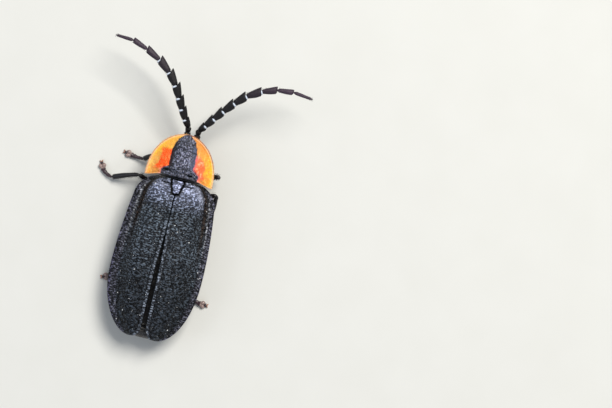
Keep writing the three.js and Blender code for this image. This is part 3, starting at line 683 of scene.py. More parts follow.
def shield_height(x, y, share):
    """Top of the shield: a raised black back with sloping sides between thin, slightly dished margins.

    A crease crosses the back where its front slopes down, its base is rough, and the margins swell beside the
    back and turn up at their rim.
    """
    forward = np.maximum(0, y - 1.7) / (FRONT_Y - 1.7)
    back = np.maximum(0, 1.7 - y) / 0.9
    far = np.abs(x) / SHIELD_HALF_WIDTH
    base = SHIELD_Z - 0.5 * forward ** 2 - 0.07 * back ** 2 - 0.6 * far ** 1.8
    off = np.abs(x) - band_half(y)
    plateau = 0.17 * fall(-0.22, 0.02, off)
    crease = -0.05 * ridge(y, 2.63 - 0.12 * x, 0.07) * fall(-0.3, -0.05, off)
    swelling = 0.075 * span(0.0, 0.14, 0.3, 0.75, off) * span(1.1, 1.5, 2.3, 3.0, y)
    dish = -0.035 * span(0.6, 0.8, 0.88, 0.97, share) * smooth(0.1, 0.4, off)
    return base + plateau + crease + base_relief(x, y) + swelling + dish + 0.06 * smooth(0.86, 0.99, share)


def shield_outline(around):
    """The outline in plan, for around from 0 to 1: the curved front from right to left, then the base."""
    front = np.clip(around / SHIELD_FRONT_SHARE, 0, 1)
    p = np.sin(math.pi * front) ** 0.85
    front_x = np.sign(np.cos(math.pi * front)) * shield_half(p)
    front_y = mix(SHIELD_CORNER_Y, FRONT_Y, p)
    rear = np.clip((around - SHIELD_FRONT_SHARE) / (1 - SHIELD_FRONT_SHARE), 0, 1)
    rear_x = mix(-SHIELD_HALF_WIDTH, SHIELD_HALF_WIDTH, rear)
    rear_y = mix(BASE_Y, SHIELD_CORNER_Y, smooth(0.5, 1.0, np.abs(rear_x) / SHIELD_HALF_WIDTH))
    is_front = around < SHIELD_FRONT_SHARE
    return np.where(is_front, front_x, rear_x), np.where(is_front, front_y, rear_y)


def margin_paint(x, y, share, off):
    """Amber margins, paler outwards, red and pink beside the back, with a pale edge and a brown rim."""
    left = x < 0

    def by_side(left_tone, right_tone):
        """One tone left of the middle and another right of it."""
        return np.where(left[:, None], linear(left_tone), linear(right_tone))

    along_left = smooth(1.15, 1.35, y) * fall(2.42, 2.62, y + 0.1 * off)
    along = np.where(left, along_left, span(0.85, 1.05, 2.2, 2.7, y))
    reach = off + 0.06 * hills(x, y, 0.2, 0.2, SEED + 7) + np.where(left, 0, 0.1 * smooth(1.6, 2.4, y))
    edge = np.where(left, 0.6, 0.16 + 0.54 * ridge(y, 1.85, 0.55))
    glow = along * fall(edge - 0.08, edge + 0.04, reach)
    spots = smooth(0.1, 0.7, hills(x + 7, y + 7, 0.09, 0.13, SEED + 9))
    amber = layered(
        by_side("#e39844", "#f59c44"), (by_side("#ecae58", "#f3ba30"), smooth(0.35, 1.0, off)),
        ("#ffe07a", 0.35 * spots), ("#eebc34", 0.7 * left * smooth(1.7, 2.3, y)),
    )
    red = layered(
        by_side("#ff500c", "#ff7048"), (by_side("#ffa45a", "#ffbd94"), np.where(left, 0.45, 0.8) * spots),
    )
    pink = fall(0.02, 0.2, off) * np.where(left, fall(1.2, 1.5, y), fall(2.2, 2.6, y))
    brown = smooth(0.99, 1.0, share) * np.where(left, 0.5, 1.0) * smooth(1.2, 2.4, y)
    return layered(
        amber, (red, glow), ("#f4808e", 0.7 * pink),
        (by_side("#e8b04a", "#de9040"), 0.8 * smooth(2.45, 2.9, y)),
        ("#f4c2a0", 0.6 * smooth(0.95, 0.975, share)), ("#6b3a44", 0.75 * brown),
    )


def back_paint(x, y, off):
    """Black with pale granules, palest along the middle, a slope dark with painted shade and a slope greyed
    by painted light, pale bumps that carry painted highlights, and black creases, pits and base edge in
    painted shade.
    """
    middle = ridge(x, 0.12, 0.5) * smooth(1.35, 1.7, y) * (1 - 0.45 * smooth(2.5, 2.8, y))
    middle = 0.9 * np.clip(middle + 0.3 * fall(1.3, 1.6, y), 0, 1)
    grain = hills(x + 5, y + 5, 0.065, 0.065, SEED + 5) + hills(x, y, 0.04, 0.04, SEED + 10)
    # Painted light from the right: the left slope dark with painted shade, the right one lit grey.
    slope = np.where(x[:, None] < 0, linear("#0c1116"), linear("#5b6680"))
    lumps = base_relief(x, y)
    return layered(
        layered("#101218", ("#34364a", middle)),
        (layered("#6e7387", ("#adb0cd", middle)), smooth(-0.7, 1.1, grain)),
        (slope, 0.85 * smooth(-0.24, -0.15, off) * span(1.4, 1.55, 2.75, 3.0, y)),
        # Painted shade in the pits and groove of the base, painted highlights on its bumps.
        ("#050608", smooth(0.02, 0.08, -lumps)), ("#8d93aa", 0.75 * smooth(0.04, 0.1, lumps)),
        # Painted shade along the base.
        ("#0a0b0e", 0.8 * fall(1.02, 1.1, y + 0.03 * hills(x, y, 0.15, 0.1, SEED + 11))),
        # Painted shade in the crease across the back.
        ("#0b0c12", 0.85 * ridge(y, 2.6 - 0.12 * x, 0.035) * smooth(-0.35, 0.1, x)),
    )


def make_shield():
    """Rings from the middle out to the rim, round it, and back in underneath."""
    out_x, out_y = shield_outline(np.arange(SHIELD_AROUND) / SHIELD_AROUND)
    arc = np.concatenate([[0], np.cumsum(np.hypot(np.diff(out_x), np.diff(out_y)))])
    top = 1 - (1 - np.linspace(0.01, 1.0, SHIELD_TOP)) ** 1.15
    share = np.concatenate([top, np.ones(SHIELD_TURN), np.linspace(1.0, 0.01, SHIELD_UNDER)])[:, None]
    x = mix(SHIELD_MIDDLE[0], out_x[None], share)
    y = mix(SHIELD_MIDDLE[1], out_y[None], share)
    inward = unit(np.stack([SHIELD_MIDDLE[0] - out_x, SHIELD_MIDDLE[1] - out_y], -1))
    is_top = np.repeat([1, 0], [SHIELD_TOP, SHIELD_TURN + SHIELD_UNDER])[:, None]
    round_rim = np.linspace(math.pi / 2, -math.pi / 2, SHIELD_TURN + 2)[1:-1]
    turn = np.concatenate([
        np.full(SHIELD_TOP, math.pi / 2), round_rim, np.full(SHIELD_UNDER, -math.pi / 2),
    ])[:, None]
    pull = SHIELD_EDGE * (1 - np.cos(turn)) * smooth(0.8, 1.0, share)
    x, y = x + inward[None, :, 0] * pull, y + inward[None, :, 1] * pull
    band = fall(-0.05, 0.05, np.abs(x) - band_half(y))
    grain = 0.012 * hills(x + 5, y + 5, 0.065, 0.065, SEED + 5) * mix(0.3, 1.0, band)
    lower = SHIELD_EDGE * (1 - np.sin(turn))
    body = (SHIELD_SHELL - 2 * SHIELD_EDGE) * fall(0.8, 1.0, share) * (1 - is_top)
    points, quads, tris = tube(stacked(x, y, shield_height(x, y, share) + grain * is_top - lower - body))
    run = np.stack(np.broadcast_arrays(arc, share * 2.0), -1).reshape(-1, 2)
    run = np.concatenate([run, np.zeros((2, 2))])
    x, y = points[:, 0], points[:, 1]
    off = np.abs(x) - band_half(y) + 0.025 * hills(x, y, 0.12, 0.12, SEED + 6)
    paint = layered(margin_paint(x, y, run[:, 1] / 2, off), (back_paint(x, y, off), fall(-0.02, 0.02, off)))
    add_piece(
        "pronotum_skin", (points + (SHIELD_X, 0, 0), quads, tris), SHIELD, "amber_cuticle",
        ["pronotum_disc", "pronotum_margin_left", "pronotum_margin_right"], paint=paint, grid_map=run,
    )


# Trunk: head, three thorax rings and the abdomen in one skin

HEAD_X = 0.1
# Station y, half width, top, height of the side edge, bottom
TRUNK_STATIONS = np.array([
    (3.22, 0.16, 1.66, 1.52, 1.36),
    (3.12, 0.38, 1.86, 1.52, 1.12),
    (2.95, 0.47, 1.98, 1.53, 1.05),
    (2.70, 0.48, 2.02, 1.55, 1.04),
    (2.50, 0.42, 2.04, 1.57, 1.10),
    (2.38, 0.40, 2.06, 1.58, 1.16),
    (2.22, 0.62, 2.24, 1.60, 1.06),
    (1.80, 0.92, 2.50, 1.60, 1.03),
    (1.25, 1.02, 2.55, 1.60, 1.03),
    (1.02, 1.04, 2.56, 1.58, 1.08),
    (0.90, 1.04, 2.52, 1.52, 1.12),
    (0.74, 1.16, 2.54, 1.50, 0.98),
    (0.20, 1.62, 2.56, 1.50, 0.93),
    (-0.30, 1.74, 2.52, 1.45, 0.93),
    (-0.42, 1.74, 2.40, 1.38, 0.96),
    (-0.60, 1.80, 2.16, 1.34, 0.93),
    (-1.70, 1.88, 2.10, 1.33, 0.93),
    (-2.85, 1.90, 2.08, 1.33, 0.94),
    (-3.00, 1.92, 2.02, 1.30, 0.97),
    (-3.20, 2.00, 2.00, 1.30, 0.93),
    (-4.20, 2.07, 1.96, 1.30, 0.91),
    (-5.60, 2.02, 1.86, 1.28, 0.91),
    (-6.80, 1.80, 1.76, 1.25, 0.94),
    (-7.62, 1.42, 1.66, 1.22, 0.98),
    (-7.85, 1.26, 1.92, 1.21, 1.00),
    (-8.10, 1.02, 1.84, 1.20, 1.02),
    (-8.36, 0.70, 1.68, 1.20, 1.06),
    (-8.42, 0.30, 1.44, 1.20, 1.12),
])
ABDOMEN_FRONT_Y = -3.08
ABDOMEN_REAR_Y = -8.36
ABDOMEN_RINGS = 8


def trunk_profile(y):
    """Half width, top, side and bottom at each y: straight between the stations, averaged over 0.12 mm."""
    stations = TRUNK_STATIONS[::-1]
    spread = np.linspace(-0.06, 0.06, 7)
    return [
        np.mean([np.interp(y + shift, stations[:, 0], stations[:, k]) for shift in spread], axis=0)
        for k in range(1, 5)
    ]


def abdomen_rings(y):
    """How far back y lies on the abdomen, from 0 to 1, and how far within its own ring."""
    reach = (ABDOMEN_FRONT_Y - y) / (ABDOMEN_FRONT_Y - ABDOMEN_REAR_Y)
    ring = np.clip(reach, 0, 1) ** 0.92 * ABDOMEN_RINGS
    return reach, ring - np.floor(ring)


def trunk_rings(y, sides):
    """Sections across the trunk: an arched back and a flatter belly that meet at the side.

    Each abdominal ring flares to its rear edge and steps in to the next, and shallow grooves part the plates
    of the thorax along the middle of the belly and between its rings. The last plate is lumpy, with a fold.
    """
    half, top, edge, bottom = (values[:, None] for values in trunk_profile(y))
    c, s = np.cos(circle(sides))[None], np.sin(circle(sides))[None]
    y = y[:, None]
    reach, within = abdomen_rings(y)
    step = 0.035 * fall(0.0, 0.8, within) + 0.02 * smooth(0.93, 1.0, within)
    step = span(0.0, 0.02, 0.97, 1.0, reach) * step
    x = powered(c, 0.8) * half * (1 - step)
    z = edge + powered(s, 0.9) * np.where(s > 0, top - edge, edge - bottom) * (1 - 1.6 * step)
    middle_groove = ridge(x, 0, 0.05) * span(-2.9, -2.6, -1.0, -0.6, y)
    cross_groove = ridge(y, -0.42, 0.05) + ridge(y, -2.35, 0.04) * 0.6 + ridge(y, 1.02, 0.05)
    z = z + smooth(0.1, 0.7, -s) * (0.05 * middle_groove + 0.03 * np.clip(cross_groove, 0, 1))
    z = z + 0.007 * hills(x, y + 20, 0.1, 0.08, SEED + 8) * np.sign(s)
    last_plate = smooth(0.1, 0.6, s) * fall(-7.8, -7.6, y)
    z = z + last_plate * (0.03 * hills(x, y, 0.3, 0.16, SEED + 13) - 0.06 * ridge(y, -7.98, 0.045))
    return stacked(x + HEAD_X * smooth(2.2, 2.6, y), y, z)


def trunk_paint(points):
    """Black, browner at the neck, darkest above with painted shade under the shield and wing cases, with
    paler hind edges on the belly rings and a grey tip.
    """
    x, y, z = points.T
    reach, within = abdomen_rings(y)
    mottle = 0.8 + 0.35 * hills(x, y, 0.14, 0.1, SEED + 14)
    return layered(
        "#1b1b1e", ("#4a4441", smooth(0.86, 0.95, within) * (reach > 0)),
        # Darkest on top: painted shade where the trunk lies under the shield and wing cases.
        ("#3a302c", ridge(y, 2.38, 0.08) + ridge(y, 0.9, 0.06)), ("#0d0d0f", smooth(1.4, 1.6, z)),
        ("#3b3736", fall(-8.4, -8.1, y) * mottle),
    )


def neck_wall():
    """A low arched wall in front of the wing cases: an upright strip carried across the thorax."""
    t = ring_steps(40)
    path = bowed((-1.2, 0.925, 2.5), (1.2, 0.925, 2.5), (0, 0, 0.17), 40)
    thick = 0.045 * rounded_ends(t, 0.1, 0.1)
    return tube(limb(path, thick, thick, 0.29 * rounded_ends(t, 0.3, 0.3), sides=28))


def make_trunk():
    """Rings from the front of the head to the tip of the abdomen, and the neck wall, as one piece."""
    y = np.linspace(TRUNK_STATIONS[0, 0] + 0.02, TRUNK_STATIONS[-1, 0] - 0.01, 420)
    shell = joined([tube(trunk_rings(y, 112)), neck_wall()])
    add_piece(
        "trunk_skin", shell, TRUNK, "black_cuticle",
        ["head", "prothorax", "mesothorax", "metathorax", "abdomen"], paint=trunk_paint(shell[0]),
    )


# Eyes, jaws and mouth feelers

EYE_RADII = (0.392, 0.388, 0.4)
EYE_PLACE = (0.64, 2.8, 1.52)
PALP_JOINTS = (
    (0.26, 2.76, 1.22), (0.42, 2.78, 0.78), (0.52, 2.86, 0.58), (0.6, 3.0, 0.52), (0.62, 3.2, 0.42),
)
PALP_WIDTHS = (0.085, 0.095, 0.1, 0.13)


def on_head(place, side):
    """A place given for the right side: mirrored for the left, then shifted with the head."""
    return np.array(place) * (side, 1, 1) + (HEAD_X, 0, 0)


def make_eyes():
    """Domes from pole to pole: rings of a sphere, a little flatter from front to back."""
    polar = np.linspace(0.02, math.pi - 0.02, 60)[:, None]
    angle = circle(90)[None]
    ball = stacked(np.cos(polar), np.sin(polar) * np.cos(angle), np.sin(polar) * np.sin(angle)) * EYE_RADII
    for name, side in SIDES.items():
        shell = tube(ball + on_head(EYE_PLACE, side))
        add_piece(f"eye_{name}_dome", shell, EYE, "eye_lens", [f"eye_{name}"])


def make_jaws():
    """Sickle jaws: limbs bent inwards that taper to a point and redden towards it."""
    t = ring_steps(36)
    width = mix(0.12, 0.035, t ** 1.3) * rounded_ends(t)
    to_tip = smooth(0.4, 1.0, np.append(np.repeat(t, 24), [0, 1]))
    for name, side in SIDES.items():
        start, end = on_head((0.24, 3.02, 1.3), side), on_head((0.13, 3.3, 0.6), side)
        shell = rod(start, end, width, 1.1, bow=(side * 0.09, 0.07, -0.02), up=(1.0, 0.0, 0.0))
        paint = layered("#2b1c18", ("#8a4a28", to_tip))
        add_piece(f"mandible_{name}_hook", shell, LIMBS, "brown_cuticle", [f"mandible_{name}"], paint=paint)


def make_palps():
    """Mouth feelers of four short joints, the last one shaped like a hatchet."""
    t = ring_steps(20)
    for name, side in SIDES.items():
        shells = []
        for k, wide in enumerate(PALP_WIDTHS):
            start, end = on_head(PALP_JOINTS[k], side), on_head(PALP_JOINTS[k + 1], side)
            is_last = k == len(PALP_WIDTHS) - 1
            shape = mix(0.5, 1.0, smooth(0, 0.6, t)) if is_last else mix(0.55, 1.0, smooth(0, 0.8, t))
            width = wide * shape * rounded_ends(t, 0.1, 0.12)
            shells.append(rod(mix(start, end, -0.06), end, width, 0.7 if is_last else 1.0, sides=16))
        add_piece(
            f"palp_{name}_joints", joined(shells), LIMBS, "brown_cuticle", [f"palp_{name}"],
            paint=tone_of(shells, "#2a2022"),
        )


def tone_of(shells, hex_colour):
    """One tone for every point of the shells."""
    return np.broadcast_to(linear(hex_colour), (sum(len(points) for points, _, _ in shells), 3))


# Antennae

# Plan places of the joints from the root to the tip, and their heights
ANTENNA_JOINTS = {
    "left": (
        (-0.17, 3.1), (-0.19, 3.68), (-0.2, 3.92), (-0.46, 4.27), (-0.77, 4.79), (-1.08, 5.37),
        (-1.43, 6.02), (-1.94, 6.67), (-2.65, 7.24), (-3.5, 7.68), (-4.38, 8.0), (-5.44, 8.07),
    ),
    "right": (
        (0.37, 3.1), (0.41, 3.64), (0.42, 3.88), (0.69, 4.2), (1.08, 4.7), (1.5, 5.24),
        (2.02, 5.83), (2.61, 6.4), (3.41, 6.87), (4.28, 7.16), (5.22, 7.25), (6.38, 7.1),
    ),
}
ANTENNA_HEIGHTS = (1.5, 1.58, 1.74, 1.98, 2.24, 2.48, 2.68, 2.84, 2.95, 3.0, 2.98, 2.88)
ANTENNA_HALF_WIDTHS = (0.19, 0.17, 0.2, 0.22, 0.23, 0.235, 0.235, 0.23, 0.195, 0.155, 0.1)
ANTENNA_TEETH = (0, 0, 0.2, 0.27, 0.28, 0.28, 0.26, 0.22, 0.16, 0.1, 0)
ANTENNA_BASES = (0.8, 0.8, 0.55, 0.6, 0.6, 0.6, 0.6, 0.6, 0.62, 0.66, 0.9)
ANTENNA_LAST = 10
BARE_JOINTS = range(3, 9)
RING_RADIUS = 0.07


def antenna_points(name):
    """The joints' places in plan, each with its height."""
    return np.column_stack([np.array(ANTENNA_JOINTS[name]), ANTENNA_HEIGHTS])


def antenna_segment(start, end, inner, joint):
    """A flattened cone that widens to its far end, where its inner corner is drawn out into a tooth.

    The tooth moves points forward, and a fifth as far sideways, by the power 1.4 of how far they lie to the
    inner side.
    """
    half, tooth, base = (row[joint] for row in (ANTENNA_HALF_WIDTHS, ANTENNA_TEETH, ANTENNA_BASES))
    along = unit(end - start)
    t = ring_steps(34)
    path = bowed(start - along * 0.03, end - along * 0.01, (0, 0, 0), 34)
    grow = 1 - (1 - base) * np.clip(1 - t / 0.8, 0, 1) ** 2
    blunt = 0.07
    if joint == ANTENNA_LAST:
        grow, blunt = mix(1.0, 0.75, smooth(0.3, 1, t)), 0.15
    width = half * grow * rounded_ends(t, 0.1, blunt)
    near, far = (1.1, 0.92) if tooth else (1, 1)
    rings = limb(path, width * near, width * far, np.minimum(width * 0.8, 0.15))
    side = unit(np.cross(along, (0.0, 0.0, 1.0))) * inner
    across = ((rings - path[:, None]) @ side) / half
    reach = np.clip(across, 0, 1.2) ** 1.4 * tooth * smooth(0.45, 1.0, t)[:, None]
    return tube(rings + (along + 0.22 * side) * reach[..., None])


def joint_ring(joints, half, side, joint):
    """The bare membrane at a joint: a short bead laid across its outer half, where no tooth covers it."""
    before, here, after = joints
    outer = unit(np.cross(after - before, (0.0, 0.0, 1.0))) * side
    wide = RING_RADIUS * rounded_ends(ring_steps(14), 0.3, 0.3) * mix(1.0, 0.7, smooth(5, 8, joint))
    return rod(here - outer * half * 0.35, here + outer * half * 0.9, wide, 2.6, sides=18)


def make_antennae():
    """Eleven joints a side, black and then violet-brown, with bare rings at the middle ones."""
    for name, side in SIDES.items():
        joints = antenna_points(name)
        shells, collars, tones = [], [], []
        for k in range(len(ANTENNA_HALF_WIDTHS)):
            shells.append(antenna_segment(joints[k], joints[k + 1], -side, k))
            tone = mix(linear("#0c0a0c"), linear("#3a2c3c"), smooth(5.5, 9.5, k))
            tones.append(np.repeat(tone[None], len(shells[-1][0]), 0))
            if k in BARE_JOINTS:
                collars.append(joint_ring(joints[k - 1:k + 2], ANTENNA_HALF_WIDTHS[k - 1], side, k))
        add_piece(
            f"antenna_{name}_joints", joined(shells), ANTENNA, "black_cuticle", [f"antenna_{name}"],
            paint=np.concatenate(tones),
        )
        add_piece(
            f"antenna_{name}_collars", joined(collars), JOINT_MEMBRANE, "black_cuticle", [f"antenna_{name}"],
        )


# Legs

# Each leg's root, hip, knee, ankle, arch of the foot and toe, from the trunk down to the claws
LEGS = {
    "front_left": (
        (-0.46, 1.5, 1.05), (-0.6, 1.38, 0.5), (-1.5, 1.98, 1.15),
        (-2.34, 1.57, 0.4), (-2.95, 1.6, 0.18), (-3.52, 1.72, 0.13),
    ),
    "front_right": (
        (0.46, 1.5, 1.05), (0.62, 1.38, 0.5), (2.2, 1.54, 1.18),
        (1.38, 1.42, 0.3), (1.4, 1.86, 0.18), (1.14, 2.5, 0.13),
    ),
    "mid_left": (
        (-0.55, 0.1, 1.0), (-0.78, 0.08, 0.46), (-2.36, 0.62, 1.08),
        (-3.88, 0.12, 0.3), (-4.33, 0.3, 0.18), (-4.68, 0.86, 0.13),
    ),
    "mid_right": (
        (0.55, 0.1, 1.0), (0.78, 0.06, 0.46), (2.26, 0.48, 1.08),
        (2.12, -0.82, 0.3), (2.2, -1.22, 0.18), (2.04, -1.9, 0.13),
    ),
    "hind_left": (
        (-0.5, -2.4, 1.0), (-0.74, -2.5, 0.46), (-2.1, -3.35, 1.02),
        (-2.0, -5.06, 0.3), (-2.48, -5.38, 0.18), (-3.12, -5.62, 0.13),
    ),
    "hind_right": (
        (0.5, -2.4, 1.0), (0.74, -2.5, 0.46), (2.14, -3.6, 1.02),
        (2.16, -5.44, 0.3), (2.58, -5.76, 0.18), (3.18, -5.82, 0.13),
    ),
}
# Where each joint of the foot starts along it, and its half widths. The fourth is made as two lobes.
TARSUS_SHARES = (0.0, 0.34, 0.53, 0.66, 0.76, 1.0)
TARSUS_WIDTHS = ((0.07, 0.1), (0.085, 0.13), (0.1, 0.16), None, (0.05, 0.07))
LOBED_JOINT = 3


def foot_route(places, t):
    """The one parabola through ankle, arch and toe, by how far each lies along the foot."""
    ankle, arch, toe = np.array(places[3:])
    s = np.linalg.norm(arch - ankle) / (np.linalg.norm(arch - ankle) + np.linalg.norm(toe - arch))
    t = np.asarray(t)[:, None]
    return ankle * (t - s) * (t - 1) / s + arch * t * (t - 1) / (s * (s - 1)) + toe * t * (t - s) / (1 - s)


def shin_and_thigh(places):
    """Hip cone, the small ring beyond it, a thigh thickest before its middle and a shin that widens."""
    root, hip, knee, ankle = np.array(places[:4])
    t = ring_steps(30)
    cone = mix(0.29, 0.16, t) * rounded_ends(t, 0.05, 0.25)
    knob = 0.15 * rounded_ends(t, 0.4, 0.4)
    thigh = mix(0.12, 0.2, smooth(0, 0.35, t)) * mix(1.0, 0.64, smooth(0.45, 0.8, t))
    thigh = thigh * rounded_ends(t, 0.04, 0.06)
    shin = mix(0.115, 0.15, smooth(0, 0.7, t)) * rounded_ends(t, 0.05, 0.04)
    return [
        rod(root, hip, cone, 1.15, up=(0.0, 1.0, 0.0)),
        rod(mix(hip, knee, -0.09), mix(hip, knee, 0.13), knob),
        rod(mix(hip, knee, 0.03), mix(hip, knee, 1.03), thigh, 0.8, bow=(0, 0, 0.05)),
        rod(mix(knee, ankle, -0.03), ankle, shin, 0.82, bow=unit(knee - hip) * (0.06, 0.06, 0)),
    ]


def tarsus(places):
    """Five short joints, each widening to its end; the fourth is split into two broad lobes."""
    shells, lobes = [], []
    route = foot_route(places, np.linspace(0, 1, 60))
    aside = unit(np.cross(route[-1] - route[36], (0.0, 0.0, 1.0)))
    t = ring_steps(20)
    for k, widths in enumerate(TARSUS_WIDTHS):
        low, high = TARSUS_SHARES[k] - 0.03, TARSUS_SHARES[k + 1]
        if k == LOBED_JOINT:
            wide = mix(0.07, 0.12, smooth(0, 0.6, t)) * rounded_ends(t, 0.08, 0.35)
            start, end = foot_route(places, [low, high + 0.16])
            for turn in (-1, 1):
                tip, bow = end + aside * turn * 0.12, aside * turn * 0.03
                lobes.append(rod(start, tip, wide, 0.8, bow=bow, sides=18))
        else:
            wide = mix(*widths, smooth(0, 0.85, t)) * rounded_ends(t, 0.1, 0.1)
            path = foot_route(places, mix(max(low, 0), high, t))
            shells.append(tube(limb(path, wide, wide, wide * 0.8, sides=18)))
    return shells, lobes


def claws(places):
    """A pair of hooks that spread from the last joint and curve down to the floor."""
    toe = np.array(places[-1])
    route = foot_route(places, np.linspace(0, 1, 60))
    heading = unit((route[-1] - route[40]) * (1, 1, 0))
    aside = unit(np.cross(heading, (0.0, 0.0, 1.0)))
    t = ring_steps(20)
    wide = mix(0.042, 0.01, t) * rounded_ends(t, 0.1, 0.05)
    shells = []
    for turn in (-1, 1):
        end = (toe + heading * 0.06 + aside * turn * 0.1) * (1, 1, 0) + (0, 0, 0.025)
        bow = heading * 0.05 + aside * turn * 0.03 + (0, 0, 0.02)
        shells.append(rod(toe - heading * 0.05, end, wide, bow=bow, sides=12))
    return shells


def on_floor(shell):
    """Presses what would reach below the floor flat against it."""
    points, quads, tris = shell
    return np.maximum(points, (-np.inf, -np.inf, 0.0)), quads, tris


def make_legs():
    """Black thighs and shins, brown foot joints with paler lobes, and claws of their own."""
    for name, places in LEGS.items():
        upper = shin_and_thigh(places)
        joints, lobes = tarsus(places)
        shell = on_floor(joined(upper + joints + lobes))
        paint = [tone_of(upper, "#100d11"), tone_of(joints, "#3a2a31"), tone_of(lobes, "#94807c")]
        node = f"leg_{name}"
        add_piece(f"{node}_skin", shell, LIMBS, "brown_cuticle", [node], paint=np.concatenate(paint))
        add_piece(f"{node}_claws", on_floor(joined(claws(places))), CLAW, "brown_cuticle", [node])


# Folded hind wings

WING_SHELL = 0.1
WING_FRONT_Y = -0.5
WING_REAR_Y = -7.4
WING_INNER_X = 0.1
WING_HALF_WIDTH = 1.78
WING_BELOW_TOP = 0.72
WING_VEINS = (0.08, 0.3, 0.55, 0.82)


def wing_outer(t):
    """Outer edge of a folded wing: it widens behind the root and closes in a round end."""
    round_end = np.sqrt(1 - np.clip((t - 0.5) / 0.53, 0, 1) ** 2.4)
    return np.maximum(0.4, mix(0.72, 1, smooth(0, 0.2, t)) * WING_HALF_WIDTH * round_end)


def make_hind_wings():
    """Smoky blades that follow the underside of the wing cases, with raised veins and shallow fan folds."""
    t = ring_steps(170)[:, None]
    steps = ring_steps(60)
    y = mix(WING_FRONT_Y, WING_REAR_Y, t)
    share = np.concatenate([steps, steps[::-1]])[None]
    x = mix(WING_INNER_X, wing_outer(t), share)
    veins = sum(0.035 * ridge(share, at, 0.018) for at in WING_VEINS)
    folds = 0.02 * np.cos(share * 8 * math.pi)
    level = elytron_height(along_elytron(y), np.minimum(x, 1.6)) - WING_BELOW_TOP + folds
    edge = np.sqrt(np.clip(np.minimum(share, 1 - share) / 0.04, 0.02, 1)) * rounded_ends(t, 0.02, 0.02)
    is_top = np.repeat([True, False], len(steps))[None]
    z = level + edge * np.where(is_top, WING_SHELL / 2 + veins, -WING_SHELL / 2)
    for name, side in SIDES.items():
        shell = tube(stacked(side * x, y, z))
        add_piece(f"hind_wing_{name}_blade", shell, WING_MEMBRANE, "smoky_membrane", [f"hind_wing_{name}"])


# Setae, the short stiff hairs of the coat

BAKE_PATCH = 0.003
BRISTLE_QUADS = np.array([(0, 1, 4, 3), (1, 2, 5, 4), (2, 0, 3, 5)])
BRISTLE_TRIS = np.array([(2, 1, 0), (3, 4, 6), (4, 5, 6), (5, 3, 6)])
BRISTLE_CORNERS = np.array([(0, 0), (1, 0), (0, 1), (0, 0.5), (1, 0.5), (0.5, 1), (1, 1)])


def hairs(roots, normals, lie, length, radius, lift, places):
    """Bent three-sided bristles, each with its place on the unwrapped skin.

    A bristle leaves its root at the angle lift above the skin along lie, flattens over its outer half and
    tapers to a point: three points at the root, three at the bend and one at the tip.
    """
    rise, level = np.sin(lift)[:, None], np.cos(lift)[:, None]
    first = unit(lie * level + normals * rise)
    second = unit(lie * (level + 0.5) + normals * rise * 0.35)
    side = unit(np.cross(first, normals))
    above = np.cross(side, first)
    bend = roots + first * (0.55 * length)[:, None]
    tip = bend + second * (0.45 * length)[:, None]
    corners = np.array([0.5, 2.594, 4.689])
    spoke = side[:, None] * np.cos(corners)[None, :, None] + above[:, None] * np.sin(corners)[None, :, None]
    spoke = spoke * radius[:, None, None]
    sunk = roots - normals * radius[:, None] * 0.8
    points = np.concatenate([sunk[:, None] + spoke, bend[:, None] + spoke * 0.7, tip[:, None]], axis=1)
    start = (np.arange(len(roots)) * points.shape[1])[:, None, None]
    quads, tris = (start + BRISTLE_QUADS).reshape(-1, 4), (start + BRISTLE_TRIS).reshape(-1, 3)
    patch = np.clip(places[:, None] + (BRISTLE_CORNERS - 0.5) * BAKE_PATCH, 0.002, 0.998)
    return outward(points.reshape(-1, 3), quads, tris), patch.reshape(-1, 2)


def slopes(surface, a, b, step=1e-3):
    """Places, normals and the unit direction of growing a, on a surface given as a function of a and b."""
    here = surface(a, b)
    along = unit(surface(a + step, b) - here)
    return here, unit(np.cross(along, surface(a, b + step) - here)), along


def dots(a, b):
    """The dot product of each pair of vectors, as a column."""
    return np.einsum("ij,ij->i", a, b)[:, None]


def coat_on_elytra():
    """Short sooty hairs all over the wing cases, lying back and a little outwards."""
    for number, (name, side) in enumerate(SIDES.items()):
        rng = np.random.default_rng(SEED + 20 + number)
        count = 4200
        u, v = rng.uniform(0.006, 0.985, count), rng.uniform(0.01, 0.985, count)
        keep = rng.random(count) < (elytron_outer(u) - elytron_inner(u)) / ELYTRON_HALF_WIDTH
        u, v = u[keep], v[keep]

        def surface(u, v):
            """Top of the wing case, the share v of the way from its inner to its outer edge."""
            x = mix(elytron_inner(u) + 0.03, elytron_outer(u) - 0.03, v)
            return stacked(side * x, elytron_y(u), elytron_height(u, x))

        roots, normals, back = slopes(surface, u, v)
        normals = normals * np.sign(normals[:, 2:3])
        swing = rng.normal(0.0, 0.45, len(u))[:, None] + side * 0.35 * v[:, None]
        lie = unit(back + np.cross(normals, back) * -swing)
        length, lift = rng.uniform(0.1, 0.19, len(u)), np.radians(rng.uniform(12, 40, len(u)))
        radius = rng.uniform(0.0045, 0.007, len(u))
        shell, patch = hairs(roots, normals, lie, length, radius, lift, np.stack([v, u], -1))
        add_piece(f"elytron_{name}_setae", shell, SOOTY_SETA, "grey_cuticle", bake_map=patch)


